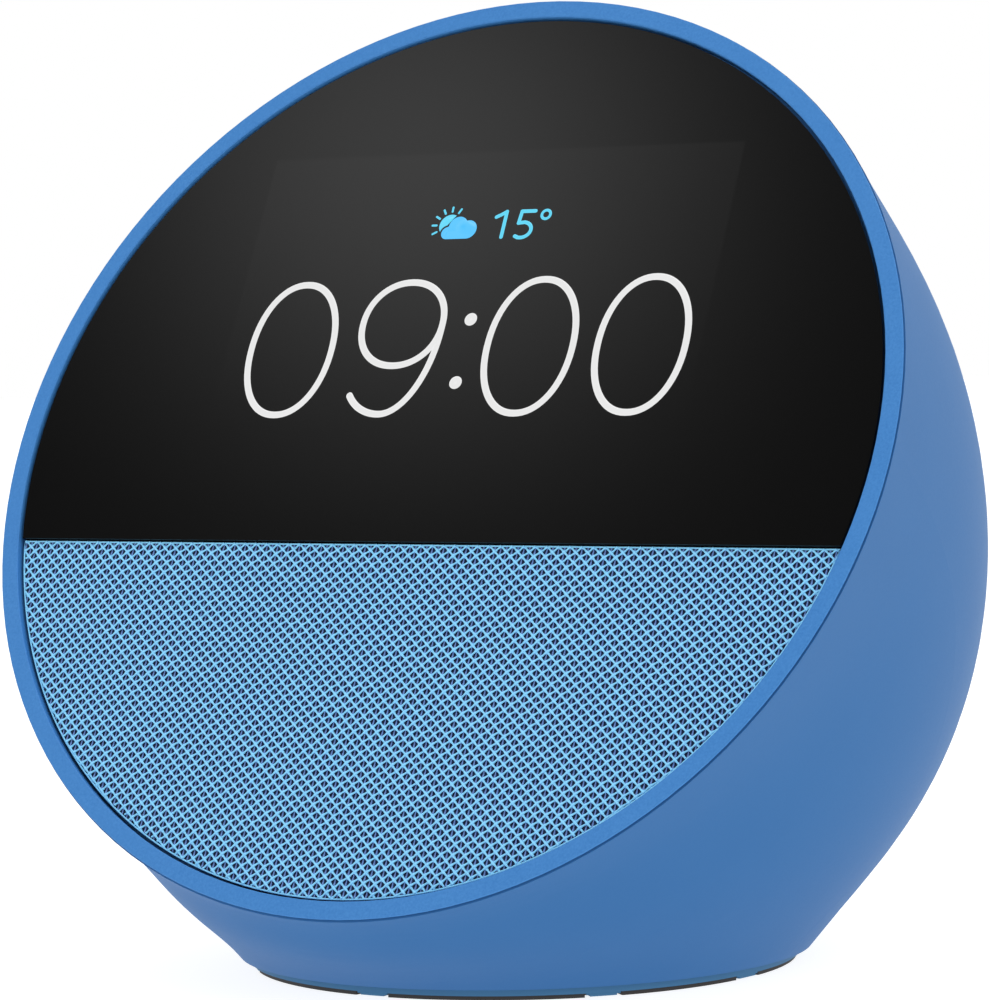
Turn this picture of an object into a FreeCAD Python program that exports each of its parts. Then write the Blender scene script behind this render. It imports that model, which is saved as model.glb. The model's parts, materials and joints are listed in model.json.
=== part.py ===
"""A round-faced smart display: a clock screen over a fabric speaker grille in a tilted disc face.

Millimetres, +Z up, the face looking along -Y and leaning back. The origin is on the surface that
the display stands on, under the middle of its box.

Two more frames serve the sub-assemblies. Face pieces are drawn with X to the right, Y up the
face and Z out of it, from the middle of the bezel's front. Button pieces are drawn with Z out
through the top of the housing. to_face and to_buttons carry them into the display's frame.
"""
import FreeCAD, Part
import math
import os

V = FreeCAD.Vector

# the face: a disc that leans back
RING_RADIUS, RING_CHAMFER, RING_EDGE, RING_UNDERCUT, RING_BACK = 56.3, 0.08, -0.12, 0.6, -0.5
SPIGOT_RADIUS, SPIGOT_BACK, SPIGOT_GAP = 54.7, -3.6, 0.15
TILT = 27.9
RING_Z = 60.13
RING_Y = -25.18

# the housing, as ellipses in planes that pivot about the line where the face meets the floor:
# share of the turn from face to floor, nearest and farthest edge from that line, half-width
BODY_SECTIONS = (
    (0.0, 11.57, 124.48, 56.45),
    (0.2, 11.45, 125.35, 54.55),
    (0.4, 11.50, 125.80, 52.50),
    (0.6, 12.40, 119.55, 48.80),
    (0.8, 14.80, 103.45, 41.40),
    (1.0, 18.15, 81.90, 31.85),
)
HOUSING_FRONT, LIP_INNER, LIP_BACK = -0.42, 56.0, -0.8
WALL = 2.0
FIT = 0.2

# the window: glass above, fabric below
POCKET_RADIUS, POCKET_CHAMFER = 54.2, 0.12
GLASS_RADIUS = 53.8
GLASS_EDGE_Y = -12.1
GLASS_FRONT, GLASS_BACK = -0.34, -1.44
FABRIC_RADIUS = 53.85
FABRIC_EDGE_Y = -12.2
FABRIC_FRONT, FABRIC_BACK = -0.66, -1.16
GRILLE_BACK = -2.66
LEDGE_FRONT, LEDGE_BACK = -1.6, -4.0
LEDGE_RADIUS = 51.2
SKIRT_RADIUS, SKIRT_BACK = 52.8, -7.0

# the screen, behind the glass
SCREEN_WIDTH, SCREEN_LOW, SCREEN_HIGH = 61.6, -9.2, 36.8
PANEL_BACK, BACKLIGHT_BACK, BRACKET_FRONT, BRACKET_BACK = -2.84, -4.5, -4.66, -5.46

# the speaker, behind the fabric
SPEAKER_Y = -30.0
SPEAKER_RADIUS = 22.0
FLANGE_FRONT, FLANGE_BACK = -6.0, -7.3
CONE_OUTER, COIL_OUTER, COIL_INNER, POLE_RADIUS, GAP_RADIUS = 15.3, 6.6, 6.2, 5.9, 6.9
TUB_RADIUS, TUB_WALL, TUB_BACK = 21.8, 1.6, -31.0
EAR_REACH, EAR_RADIUS, EAR_ANGLES = 23.2, 2.2, (45, 135, 225, 315)
LUG_X, LUG_HALF_HEIGHT, LUG_THICKNESS = 28.4, 4.0, 2.0
SPEAKER_LEAD_X, SPEAKER_LEAD_LEVEL = 1.5, -10.0

# boards and the frame that carries them
BOARD_FRONT, BOARD_BACK = -11.0, -12.2
BOARD_SCREWS = ((-30, 0), (-30, 30), (30, 0), (30, 30))
FRAME_FRONT, FRAME_BACK, FRAME_RADIUS = -24.0, -26.0, 47.5
POST_REACH, POST_RADIUS, POST_ANGLES = 46.5, 2.8, (14, 166, -38, -142)

# the base
BASE_Y = RING_Y + 18.2
HOUSING_LOW = 1.4
FOOT_RADIUS = 31.1
FOOT_INNER = 25.7
LIP_LOW, LIP_HIGH, LIP_RADIUS = 0.5, 1.3, 31.5
LEDGE_LOW, LEDGE_TOP, FLOOR_TOP = 2.4, 4.4, 6.4
TAB_ANGLES = (-93, -44.5, -8, 39.5, 87, 135.5, 172, 219.5)
TAB_HALF_ANGLE = 3.6
BASE_SCREW_REACH, BASE_SCREW_ANGLES = 26.5, (90, 198, 342)

# the power inlet, at the back
INLET_Z, INLET_FACE_Y = 17.0, 33.0
INLET_BORE, INLET_PIN, INLET_PIN_LENGTH, INLET_DEPTH = 2.1, 0.85, 7.6, 9.0
WELL_RADIUS = 5.0
POWER_BOARD_LOW, POWER_BOARD_TOP = 11.0, 12.4
POWER_SCREWS = ((-9.0, 16.0), (9.0, 16.0))

# the buttons, on top behind the bezel
BUTTON_LEAN, BUTTON_Y = 32.0, 13.5
BUTTON_PITCH, BUTTON_RADIUS, BUTTON_PROUD = 14.0, 4.5, 0.4
BUTTON_BOARD_TOP = -10.5
BUTTON_SCREW_X, BUTTON_SCREW_Y = 7.0, 4.4
MIC_X = 21.0

PIVOT_Y = RING_Y - RING_Z * math.tan(math.radians(TILT))
FACE = FreeCAD.Placement(V(0, RING_Y, RING_Z), FreeCAD.Rotation(V(1, 0, 0), 90 - TILT))


# ---- plain shapes ----

def disc(radius, low, high, x=0.0, y=0.0):
    """A cylinder along Z from low to high."""
    return Part.makeCylinder(radius, high - low, V(x, y, low))


def ring(outer, inner, low, high, x=0.0, y=0.0):
    """A tube along Z from low to high."""
    return disc(outer, low, high, x, y).cut(disc(inner, low, high, x, y))


def block(x_low, x_high, y_low, y_high, z_low, z_high):
    """A box between two corners."""
    return Part.makeBox(x_high - x_low, y_high - y_low, z_high - z_low, V(x_low, y_low, z_low))


def turned(profile, x=0.0, y=0.0):
    """A solid turned about Z from a closed list of (radius, height) points."""
    points = [V(r, 0, z) for r, z in profile]
    face = Part.Face(Part.makePolygon(points + points[:1]))
    solid = face.revolve(V(0, 0, 0), V(0, 0, 1), 360)
    solid.translate(V(x, y, 0))
    return solid


def joined(shapes):
    """One shape from several that touch."""
    result = shapes[0]
    for shape in shapes[1:]:
        result = result.fuse(shape)
    return result.removeSplitter()


def group(shapes):
    """Separate solids kept side by side in one node."""
    return Part.makeCompound(shapes)


def polar(reach, angle, y=0.0):
    """X and Y at a distance and an angle from the point (0, y)."""
    turn = math.radians(angle)
    return reach * math.cos(turn), y + reach * math.sin(turn)


def placed(shape, placement):
    """A copy of a shape carried by a placement."""
    copy = shape.copy()
    copy.Placement = placement.multiply(copy.Placement)
    return copy


def to_face(shape):
    """Carry a shape from the face's frame into the display's."""
    return placed(shape, FACE)


def screw(head_radius, head_height, shank_radius, length, x, y, z, up):
    """A pan-head screw whose shank leaves the head's seat at z, towards +Z when up is 1."""
    head = Part.makeCylinder(head_radius, head_height, V(x, y, z), V(0, 0, -up))
    shank = Part.makeCylinder(shank_radius, length, V(x, y, z), V(0, 0, up))
    slot = block(x - head_radius, x + head_radius, y - 0.25, y + 0.25, -0.4, 0.4)
    slot.translate(V(0, 0, z - up * head_height))
    return head.fuse(shank).cut(slot)


def lead(points, radius):
    """A wire along straight runs joined by the largest tangent arcs that the runs allow."""
    points = [V(*p) for p in points]
    edges, start = [], points[0]
    for before, corner, after in zip(points, points[1:], points[2:]):
        back, ahead = before - corner, after - corner
        reach = 0.45 * min(back.Length, ahead.Length)
        back.normalize()
        ahead.normalize()
        a, c = corner + back * reach, corner + ahead * reach
        middle = back + ahead
        middle.normalize()
        half = 0.5 * back.getAngle(ahead)
        b = corner + middle * (reach / math.cos(half) * (1 - math.sin(half)))
        edges += [Part.LineSegment(start, a).toShape(), Part.Arc(a, b, c).toShape()]
        start = c
    edges.append(Part.LineSegment(start, points[-1]).toShape())
    first = points[1] - points[0]
    outline = Part.Wire([Part.Circle(points[0], first, radius).toShape()])
    return Part.Wire(edges).makePipeShell([outline], True, False)


# ---- the body's form ----

def section(fraction, near, far, half_width, inset):
    """One ellipse of the body, in its plane through the pivot line."""
    angle = math.radians((90 - TILT) * (1 - fraction))
    middle, half = (near + far) / 2, (far - near) / 2 - inset
    c, s = math.cos(angle), math.sin(angle)
    matrix = FreeCAD.Matrix(
        half_width - inset, 0, 0, 0,
        0, half * c, -s, PIVOT_Y + middle * c,
        0, half * s, c, middle * s,
        0, 0, 0, 1)
    circle = Part.Wire([Part.Circle(V(0, 0, 0), V(0, 0, 1), 1).toShape()])
    return circle.transformGeometry(matrix)


def body(inset):
    """The body's solid form, shrunk by inset all round its sides."""
    wires = [section(*row, inset) for row in BODY_SECTIONS]
    return Part.makeLoft([Part.Wire(w.Edges) for w in wires], True, False)


def surface_height(form, x, y):
    """Height of a form's top surface above the point (x, y)."""
    line = Part.LineSegment(V(x, y, RING_Z), V(x, y, 3 * RING_Z)).toShape()
    return max(vertex.Z for vertex in line.common(form).Vertexes)


OUTER = body(0)
INNER = body(WALL)
BUTTON_TOP = FreeCAD.Placement(
    V(0, BUTTON_Y, surface_height(OUTER, 0, BUTTON_Y)), FreeCAD.Rotation(V(1, 0, 0), -BUTTON_LEAN))


def to_buttons(shape):
    """Carry a shape from the buttons' frame into the display's."""
    return placed(shape, BUTTON_TOP)


def front_cut(depth):
    """Everything in front of a plane parallel to the face."""
    return to_face(block(-80, 80, -80, 80, depth, 40))


# ---- housing ----

def button_places():
    """X of each button's middle, from the display's left to its right."""
    return {"volume_down": -BUTTON_PITCH, "volume_up": 0.0, "mic_mute": BUTTON_PITCH}


def button_screw_places():
    """The two points where the button board is screwed to the housing."""
    return [(side * BUTTON_SCREW_X, BUTTON_SCREW_Y) for side in (-1, 1)]


def housing():
    """The one-piece moulded shell, open at the face and underneath."""
    shell = OUTER.cut(INNER)
    floor_ring = ring(40, 22.5, LEDGE_LOW, LEDGE_TOP, 0, BASE_Y).common(body(0.4))
    well = Part.makeCylinder(WELL_RADIUS + 1.4, 30, V(0, INLET_FACE_Y, INLET_Z), V(0, 1, 0))
    bosses = [disc(2.2, BUTTON_BOARD_TOP, 2, *place) for place in button_screw_places()]
    bosses = to_buttons(group(bosses)).common(body(0.5))
    shell = joined([shell, floor_ring, well.common(body(0.4)), bosses])
    shell = shell.cut(block(-80, 80, -80, 80, -5, HOUSING_LOW))
    shell = shell.cut(front_cut(HOUSING_FRONT)).cut(to_face(disc(LIP_INNER, LIP_BACK, 5)))
    shell = shell.cut(to_face(disc(SPIGOT_RADIUS + SPIGOT_GAP, SPIGOT_BACK - SPIGOT_GAP, 5)))
    port = Part.makeCylinder(WELL_RADIUS, 40, V(0, INLET_FACE_Y - 1, INLET_Z), V(0, 1, 0))
    holes = [disc(BUTTON_RADIUS + FIT, -8, 6, x) for x in button_places().values()]
    holes += [disc(0.6, -9, 6, side * MIC_X) for side in (-1, 1)]
    screws = [disc(0.8, BUTTON_BOARD_TOP - 1, -6, *place) for place in button_screw_places()]
    shell = shell.cut(port).cut(to_buttons(group(holes))).cut(to_buttons(group(screws)))
    for angle in BASE_SCREW_ANGLES:
        x, y = polar(BASE_SCREW_REACH, angle, BASE_Y)
        shell = shell.cut(disc(1.3, 0, 8, x, y))
    return shell


# ---- face ----

def upper(radius, low, high, edge):
    """The part of a disc above a level line."""
    return disc(radius, low, high).common(block(-80, 80, edge, 80, low - 1, high + 1))


def lower(radius, low, high, edge):
    """The part of a disc below a level line."""
    return disc(radius, low, high).common(block(-80, 80, -80, edge, low - 1, high + 1))


def bracket_places():
    """The four points where the screen's bracket is screwed to the bezel."""
    return [polar(49.2, angle) for angle in (40, 140, -9, 189)]


def post_places():
    """The four points where the inner frame is screwed to the bezel."""
    return [polar(POST_REACH, angle) for angle in POST_ANGLES]


def bezel():
    """The flat front ring with the glass and grille ledges, and its posts."""
    rim = turned((
        (POCKET_RADIUS, -POCKET_CHAMFER), (POCKET_RADIUS + POCKET_CHAMFER, 0),
        (RING_RADIUS - RING_CHAMFER, 0), (RING_RADIUS, -RING_CHAMFER), (RING_RADIUS, RING_EDGE),
        (RING_RADIUS - RING_UNDERCUT, RING_BACK), (SPIGOT_RADIUS, RING_BACK),
        (SPIGOT_RADIUS, SPIGOT_BACK), (SKIRT_RADIUS, SPIGOT_BACK), (SKIRT_RADIUS, SKIRT_BACK),
        (LEDGE_RADIUS, SKIRT_BACK), (LEDGE_RADIUS, LEDGE_FRONT), (POCKET_RADIUS, LEDGE_FRONT)))
    pieces = [rim, block(-52, 52, -14.2, -10.4, LEDGE_BACK, LEDGE_FRONT).common(disc(52, -9, 9))]
    pieces += [disc(2.3, BRACKET_FRONT, LEDGE_FRONT, x, y) for x, y in bracket_places()]
    for (x, y), angle in zip(post_places(), POST_ANGLES):
        pieces.append(disc(POST_RADIUS, -12, GRILLE_BACK, x, y))
        web = block(POST_REACH, SKIRT_RADIUS - 0.6, -1.3, 1.3, SKIRT_BACK, GRILLE_BACK)
        web.rotate(V(0, 0, 0), V(0, 0, 1), angle)
        pieces.append(web)
    pocket = lower(POCKET_RADIUS, GRILLE_BACK, 0.5, FABRIC_EDGE_Y + 0.1)
    holes = [disc(0.8, -8, -2.2, x, y) for x, y in bracket_places()]
    holes += [disc(1.0, -13, -4.5, x, y) for x, y in post_places()]
    return joined(pieces).cut(pocket).cut(group(holes))


def glass_bond():
    """The black adhesive gasket round the back of the glass."""
    loop = upper(53.6, LEDGE_FRONT, GLASS_BACK, GLASS_EDGE_Y)
    return loop.cut(upper(51.5, LEDGE_FRONT - 1, 0, -10.6))


def perforated_plate():
    """The stiff grille plate behind the fabric, pierced in front of the speaker."""
    plate = lower(53.7, GRILLE_BACK, FABRIC_BACK, FABRIC_EDGE_Y - 0.15)
    rib = ring(19.9, 18.4, LEDGE_BACK, GRILLE_BACK, 0, SPEAKER_Y)
    plate = joined([plate, rib.common(block(-80, 80, -80, -14.5, -9, 0))])
    pitch, holes = 4.2, []
    for row in range(-5, 6):
        for column in range(-5, 6):
            x = pitch * (column + 0.5 * (row % 2))
            y = pitch * math.sin(math.radians(60)) * row
            if math.hypot(x, y) < 16.2 and SPEAKER_Y + y < -15:
                holes.append(disc(1.2, -9, 0, x, SPEAKER_Y + y))
    return plate.cut(group(holes))


def bracket():
    """The pressed-steel tray that holds the screen, with four ears to the bezel."""
    plate = block(-32, 32, -9.6, 37.4, BRACKET_BACK, BRACKET_FRONT)
    pieces = [plate]
    for x, y in bracket_places():
        reach = block(0, math.hypot(x, y) - 26, -3, 3, BRACKET_BACK, BRACKET_FRONT)
        reach.translate(V(26, 0, 0))
        reach.rotate(V(0, 0, 0), V(0, 0, 1), math.degrees(math.atan2(y, x)))
        pieces += [reach, disc(3, BRACKET_BACK, BRACKET_FRONT, x, y)]
    window = block(-24, 24, -2, 30, -9, 0)
    bars = [block(x - 1.5, x + 1.5, -2, 30, BRACKET_BACK, BRACKET_FRONT) for x in (-8, 8)]
    tray = joined(pieces).cut(window).fuse(group(bars)).common(disc(51, -9, 0))
    return tray.removeSplitter().cut(group([disc(1.1, -9, 0, x, y) for x, y in bracket_places()]))


def ribbon(x_low, x_high, outline):
    """A flat cable: a (y, z) outline drawn out between two sides."""
    points = [V(x_low, y, z) for y, z in outline]
    face = Part.Face(Part.makePolygon(points + points[:1]))
    return face.extrude(V(x_high - x_low, 0, 0))


def screen_flex():
    """The screen's flat cable, folded back over the bracket to the main board."""
    bend_y, bend_z, outer, inner = 38.4, -5.5, 3.5, 3.25
    arc = disc(outer, -9, 7).cut(disc(inner, -9, 7))
    arc.rotate(V(0, 0, 0), V(0, 1, 0), 90)
    arc.translate(V(1, bend_y, bend_z))
    arc = arc.common(block(-8, 8, bend_y, 60, -20, 20))
    front = block(-8, 8, SCREEN_HIGH, bend_y, bend_z + inner, bend_z + outer)
    back = block(-8, 8, 30, bend_y, bend_z - outer, bend_z - inner)
    return joined([arc, front, back])


# ---- speaker ----

def basket():
    """The speaker's frame: a flange with four ears, and a windowed cone down to the magnet."""
    outer_wall = ((20.2, FLANGE_BACK), (12.6, -15.0), (12.6, -16.0), (GAP_RADIUS + 0.6, -16.0))
    inner_wall = ((GAP_RADIUS + 0.6, -15.2), (11.6, -15.2), (11.6, -13.9), (18.2, FLANGE_BACK + 0.6),
                  (18.2, -6.3), (20.5, -6.3), (20.5, FLANGE_FRONT), (SPEAKER_RADIUS, FLANGE_FRONT),
                  (SPEAKER_RADIUS, FLANGE_BACK))
    frame = turned(outer_wall + inner_wall, 0, SPEAKER_Y)
    ears = []
    for angle in EAR_ANGLES:
        x, y = polar(EAR_REACH, angle, SPEAKER_Y)
        ears.append(disc(EAR_RADIUS, FLANGE_BACK, FLANGE_FRONT, x, y))
    trim = disc(LEDGE_RADIUS - 0.2, FLANGE_BACK, 0).fuse(disc(49.0, TUB_BACK, FLANGE_BACK))
    frame = joined([frame] + ears).common(trim)
    cuts = [disc(1.1, -9, -5, *polar(EAR_REACH, a, SPEAKER_Y)) for a in EAR_ANGLES]
    for angle in (0, 90, 180, 270):
        window = block(11, 21, -4.5, 4.5, -12.6, -9.2)
        window.rotate(V(0, 0, 0), V(0, 0, 1), angle)
        window.translate(V(0, SPEAKER_Y, 0))
        cuts.append(window)
    return frame.cut(group(cuts))


def surround():
    """The rubber half-roll between the cone and the basket."""
    middle, roll = 16.85, 1.35
    profile = [(15.35, -6.3), (15.35, -6.0)]
    for radius, turns in ((roll, range(180, -1, -20)), (roll - 0.3, range(0, 181, 20))):
        for degrees in turns:
            turn = math.radians(degrees)
            profile.append((middle + radius * math.cos(turn), -6.0 + radius * math.sin(turn)))
        if radius == roll:
            profile += [(20.3, -6.0), (20.3, -6.3), (middle + roll - 0.3, -6.3)]
    profile.append((middle - roll + 0.3, -6.3))
    return turned(profile, 0, SPEAKER_Y)


def spider():
    """The corrugated ring that centres the voice coil."""
    steps, inner, outer, level, thickness = 24, COIL_OUTER + 0.15, 11.5, -13.6, 0.3
    top = []
    for step in range(steps + 1):
        share = step / steps
        top.append((inner + (outer - inner) * share, level + 0.35 * math.sin(6 * math.pi * share)))
    back = [(r, z - thickness) for r, z in reversed(top)]
    return turned(top + back, 0, SPEAKER_Y)


def cone():
    """The paper cone."""
    profile = ((COIL_OUTER - 0.3, -11.8), (COIL_OUTER - 0.3, -11.4), (CONE_OUTER - 0.9, -6.45),
               (CONE_OUTER, -6.45), (CONE_OUTER, -6.8), (CONE_OUTER - 0.7, -6.8), (COIL_OUTER, -11.8))
    return turned(profile, 0, SPEAKER_Y)


def dust_cap():
    """The domed cap over the voice coil."""
    rise, half = 1.8, 6.9
    radius = (half * half + rise * rise) / (2 * rise)
    ball = Part.makeSphere(radius).cut(Part.makeSphere(radius - 0.3))
    ball.translate(V(0, SPEAKER_Y, -10.95 + rise - radius))
    return ball.common(disc(half, -10.95, -5, 0, SPEAKER_Y))


def enclosure():
    """The speaker's sealed tub, trimmed to the housing's floor."""
    def form(inset, front):
        """The tub's outline, shrunk by inset, from its back to a level."""
        bowl = disc(TUB_RADIUS - inset, TUB_BACK + inset, front, 0, SPEAKER_Y)
        return bowl.common(disc(50.9 - inset, -60, 0))
    pieces = [form(0, FLANGE_BACK)]
    for angle in EAR_ANGLES:
        x, y = polar(EAR_REACH, angle, SPEAKER_Y)
        pieces.append(disc(EAR_RADIUS, -16, FLANGE_BACK, x, y).common(disc(50.9, -60, 0)))
    lugs = [block(min(s * 20, s * 31), max(s * 20, s * 31), SPEAKER_Y - LUG_HALF_HEIGHT,
                  SPEAKER_Y + LUG_HALF_HEIGHT, FRAME_FRONT, FRAME_FRONT + LUG_THICKNESS)
            for s in (-1, 1)]
    tub = joined(pieces + lugs).cut(form(TUB_WALL, 0))
    cuts = [disc(0.8, -15, 0, *polar(EAR_REACH, a, SPEAKER_Y)) for a in EAR_ANGLES]
    cuts += [disc(1.1, -40, 0, side * LUG_X, SPEAKER_Y) for side in (-1, 1)]
    cuts += [Part.makeCylinder(0.75, 6, V(x, -12, SPEAKER_LEAD_LEVEL), V(0, 1, 0))
             for x in (-SPEAKER_LEAD_X, SPEAKER_LEAD_X)]
    tub = to_face(tub.cut(group(cuts)))
    floor = block(-60, 60, -80, 80, -10, LEDGE_TOP + 2.4)
    skin = block(-60, 60, -80, 80, -10, LEDGE_TOP + 4.0).cut(floor)
    slab = to_face(form(0, FLANGE_BACK)).common(skin).common(body(WALL + 0.6))
    return joined([tub.cut(floor).common(body(WALL + 0.6)), slab])


# ---- inner frame and boards ----

def inner_frame():
    """The moulded frame: a leaning plate, a floor plate and two gussets."""
    plate = disc(FRAME_RADIUS, FRAME_BACK, FRAME_FRONT)
    pieces = [plate]
    pieces += [disc(POST_RADIUS, FRAME_BACK, -12, x, y) for x, y in post_places()]
    pieces += [disc(2.4, FRAME_FRONT, BOARD_BACK, x, y) for x, y in BOARD_SCREWS]
    pieces += [disc(2.2, FRAME_BACK - 6, FRAME_BACK, side * LUG_X, SPEAKER_Y) for side in (-1, 1)]
    leaning = joined(pieces)
    cuts = [disc(TUB_RADIUS + 0.6, -40, 0, 0, SPEAKER_Y), block(-4, 4, -8.5, -1.5, -40, -20)]
    cuts += [block(x - 6, x + 6, 8, 26, -40, -20) for x in (-16, 0, 16)]
    cuts += [disc(1.4, -20, -11, x, y) for x, y in post_places()]
    cuts += [disc(2.7, -30, -19.5, x, y) for x, y in post_places()]
    cuts += [disc(0.8, -22, -11, x, y) for x, y in BOARD_SCREWS]
    cuts += [disc(0.8, -31, -22, side * LUG_X, SPEAKER_Y) for side in (-1, 1)]
    leaning = to_face(leaning.cut(group(cuts))).common(body(WALL + 0.8))
    floor = disc(29.0, LEDGE_TOP, FLOOR_TOP, 0, BASE_Y)
    tub = disc(TUB_RADIUS + 0.6, TUB_BACK - 0.6, 0, 0, SPEAKER_Y)
    behind = front_cut(FRAME_BACK + 0.5)
    legs = [block(min(s * 22.6, s * 24.4), max(s * 22.6, s * 24.4), -60, 18, LEDGE_TOP, 26)
            for s in (-1, 1)]
    legs = group(legs).cut(front_cut(FRAME_FRONT)).common(body(WALL + 0.8))
    slope = block(-60, 60, 0, 60, 0, 60)
    slope.rotate(V(0, 0, 0), V(1, 0, 0), 20)
    slope.translate(V(0, 4, FLOOR_TOP))
    pillars = [disc(3.2, LEDGE_TOP, 10.8, *polar(BASE_SCREW_REACH, a, BASE_Y))
               for a in BASE_SCREW_ANGLES]
    stands = [disc(2.2, LEDGE_TOP, POWER_BOARD_LOW, x, y) for x, y in POWER_SCREWS]
    low = joined([floor.cut(behind), *legs.cut(slope).Solids, *stands]
                 + [p.common(body(WALL + 0.8)) for p in pillars])
    low = low.cut(to_face(tub)).cut(to_face(disc(60, FRAME_FRONT, 10)))
    holes = [disc(0.9, 0, 10.5, *polar(BASE_SCREW_REACH, a, BASE_Y)) for a in BASE_SCREW_ANGLES]
    holes += [disc(0.8, FLOOR_TOP, 12, x, y) for x, y in POWER_SCREWS]
    return joined([leaning, low]).cut(group(holes))


def main_board():
    """The main circuit board."""
    board = block(-34, 34, -4, 34, BOARD_BACK, BOARD_FRONT)
    board = board.makeChamfer(3, [e for e in board.Edges if abs(e.BoundBox.ZLength) > 1])
    return board.cut(group([disc(1.1, -20, 0, x, y) for x, y in BOARD_SCREWS]))


def chips():
    """Processor, memory and power chips on the back of the main board."""
    z = BOARD_BACK
    return group([block(-8, 6, 10, 24, z - 1.2, z), block(9, 19, 12, 24, z - 1.0, z),
                  block(-20, -12, 14, 22, z - 0.9, z), block(-20, -15, 4, 9, z - 1.0, z),
                  block(-11, -6, 3, 8, z - 1.6, z)])


def shield_can():
    """The pressed cover over the radio, on the board's front."""
    can = block(-32, -14, 6, 24, BOARD_FRONT, BOARD_FRONT + 1.8)
    return can.cut(block(-31.8, -14.2, 6.2, 23.8, BOARD_FRONT, BOARD_FRONT + 1.6))


def board_sockets():
    """Flat-cable and wire sockets on the main board."""
    z = BOARD_FRONT
    return group([block(-9, 9, 27, 31, z, z + 2.0), block(17, 27, 28, 31.6, z, z + 0.9),
                  block(-4, 4, -3, 1, z, z + 2.2), block(-2.6, 2.6, -3.4, 1.4, -16, BOARD_BACK)])


def heat_spreader():
    """The aluminium plate over the chips, with a folded fin at each end."""
    plate = block(-25, 25, 2, 30, -15.6, -14.4)
    fins = [block(min(s * 23.8, s * 25), max(s * 23.8, s * 25), 2, 30, -19, -15.6) for s in (-1, 1)]
    return joined([plate] + fins)


# ---- base and power ----

def tab_sector(angle, half, low, high, outer, inner):
    """A short piece of a ring about the base's middle."""
    wedge = ring(outer, inner, low, high)
    wide = 40 * math.tan(math.radians(half))
    points = [V(0, 0, low), V(40, -wide, low), V(40, wide, low)]
    prism = Part.Face(Part.makePolygon(points + points[:1])).extrude(V(0, 0, high - low))
    piece = wedge.common(prism)
    piece.rotate(V(0, 0, 0), V(0, 0, 1), angle)
    piece.translate(V(0, BASE_Y, 0))
    return piece


def base_cover():
    """The moulded cover under the housing, whose snap tabs come down through the foot."""
    plug = disc(29.4, LIP_LOW, LEDGE_LOW - 0.1, 0, BASE_Y)
    lip = disc(LIP_RADIUS, LIP_LOW, LIP_HIGH, 0, BASE_Y)
    cover = joined([plug, lip]).cut(ring(30.3, 25.5, 0, 1.0, 0, BASE_Y))
    tabs = []
    for angle in TAB_ANGLES:
        tabs.append(tab_sector(angle, TAB_HALF_ANGLE, 0.25, LIP_LOW, FOOT_RADIUS, 29.6))
        tabs.append(tab_sector(angle, TAB_HALF_ANGLE - 0.8, 0.08, 0.25, FOOT_RADIUS, 29.6))
        tabs.append(tab_sector(angle, TAB_HALF_ANGLE, LIP_LOW, 1.1, 30.6, 29.6))
    cover = joined([cover] + tabs).cut(disc(24.5, 0, 0.8, 0, BASE_Y))
    holes = []
    for angle in BASE_SCREW_ANGLES:
        x, y = polar(BASE_SCREW_REACH, angle, BASE_Y)
        holes += [disc(1.2, 0, 3, x, y), disc(2.1, 0, 1.75, x, y)]
    return cover.cut(group(holes))


def foot():
    """The rubber foot ring, let into the base cover and notched for its tabs."""
    pad = ring(FOOT_RADIUS, FOOT_INNER, 0, LIP_LOW - 0.02, 0, BASE_Y)
    tongue = ring(30.1, FOOT_INNER, LIP_LOW - 0.02, 0.98, 0, BASE_Y)
    notches = [tab_sector(a, TAB_HALF_ANGLE + 0.3, -1, 2, 33, 29.4) for a in TAB_ANGLES]
    return joined([pad, tongue]).cut(group(notches))


def power_socket():
    """The barrel inlet's moulded body."""
    case = block(-4.5, 4.5, 20.5, INLET_FACE_Y, POWER_BOARD_TOP, INLET_Z + 4.2)
    slots = [block(-1, 1, 21.6, 31.1, INLET_Z + 1.9, INLET_Z + 2.6),
             block(-1, 1, 21.6, 22.1, 12, INLET_Z + 2.6)]
    root = V(0, INLET_FACE_Y - INLET_DEPTH, INLET_Z)
    bore = Part.makeCylinder(INLET_BORE, INLET_DEPTH, root, V(0, 1, 0))
    return case.cut(bore).cut(group(slots))


def power_pin():
    """The inlet's centre pin."""
    root = INLET_FACE_Y - INLET_DEPTH
    pin = Part.makeCylinder(INLET_PIN, INLET_PIN_LENGTH, V(0, root, INLET_Z), V(0, 1, 0))
    tip = Part.makeSphere(INLET_PIN, V(0, root + INLET_PIN_LENGTH, INLET_Z))
    return joined([pin, tip])


def power_contact():
    """The leaf spring that touches the plug's barrel."""
    leaf = block(-0.9, 0.9, 22, 31, INLET_Z + 2.2, INLET_Z + 2.5)
    tail = block(-0.9, 0.9, 21.7, 22, POWER_BOARD_TOP, INLET_Z + 2.5)
    return joined([leaf, tail])


def power_lead():
    """The two wires from the power board up to the back of the main board."""
    route = ((4.6, 12.4, 14.4), (4.6, 7.4, 14.4), (4.2, 3.2, 19.0), (3.8, 3.0, 26.0),
             (2.6, 3.4, 33.0), (1.0, 0.8, 39.5), (0.0, -4.7, 44.1), (0.0, -7.95, 49.6),
             (0.0, -11.35, 51.85))
    return group([lead([(x + dx, y, z) for x, y, z in route], 0.7) for dx in (-0.8, 0.8)])


# ---- buttons ----

def button_cap(x):
    """A round button cap, domed like the housing, on a flange that keeps it in."""
    crown = to_buttons(disc(BUTTON_RADIUS, -5, 3, x)).common(body(-BUTTON_PROUD))
    flange = to_buttons(disc(BUTTON_RADIUS + 0.7, -5.2, 0, x)).common(body(WALL + 0.15))
    stem = to_buttons(disc(1.6, -6.2, -5, x))
    return joined([crown, flange, stem])


def switch_plunger(x):
    """A tactile switch's plunger, under its cap."""
    return to_buttons(disc(1.6, -8.4, -6.2, x))


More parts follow.
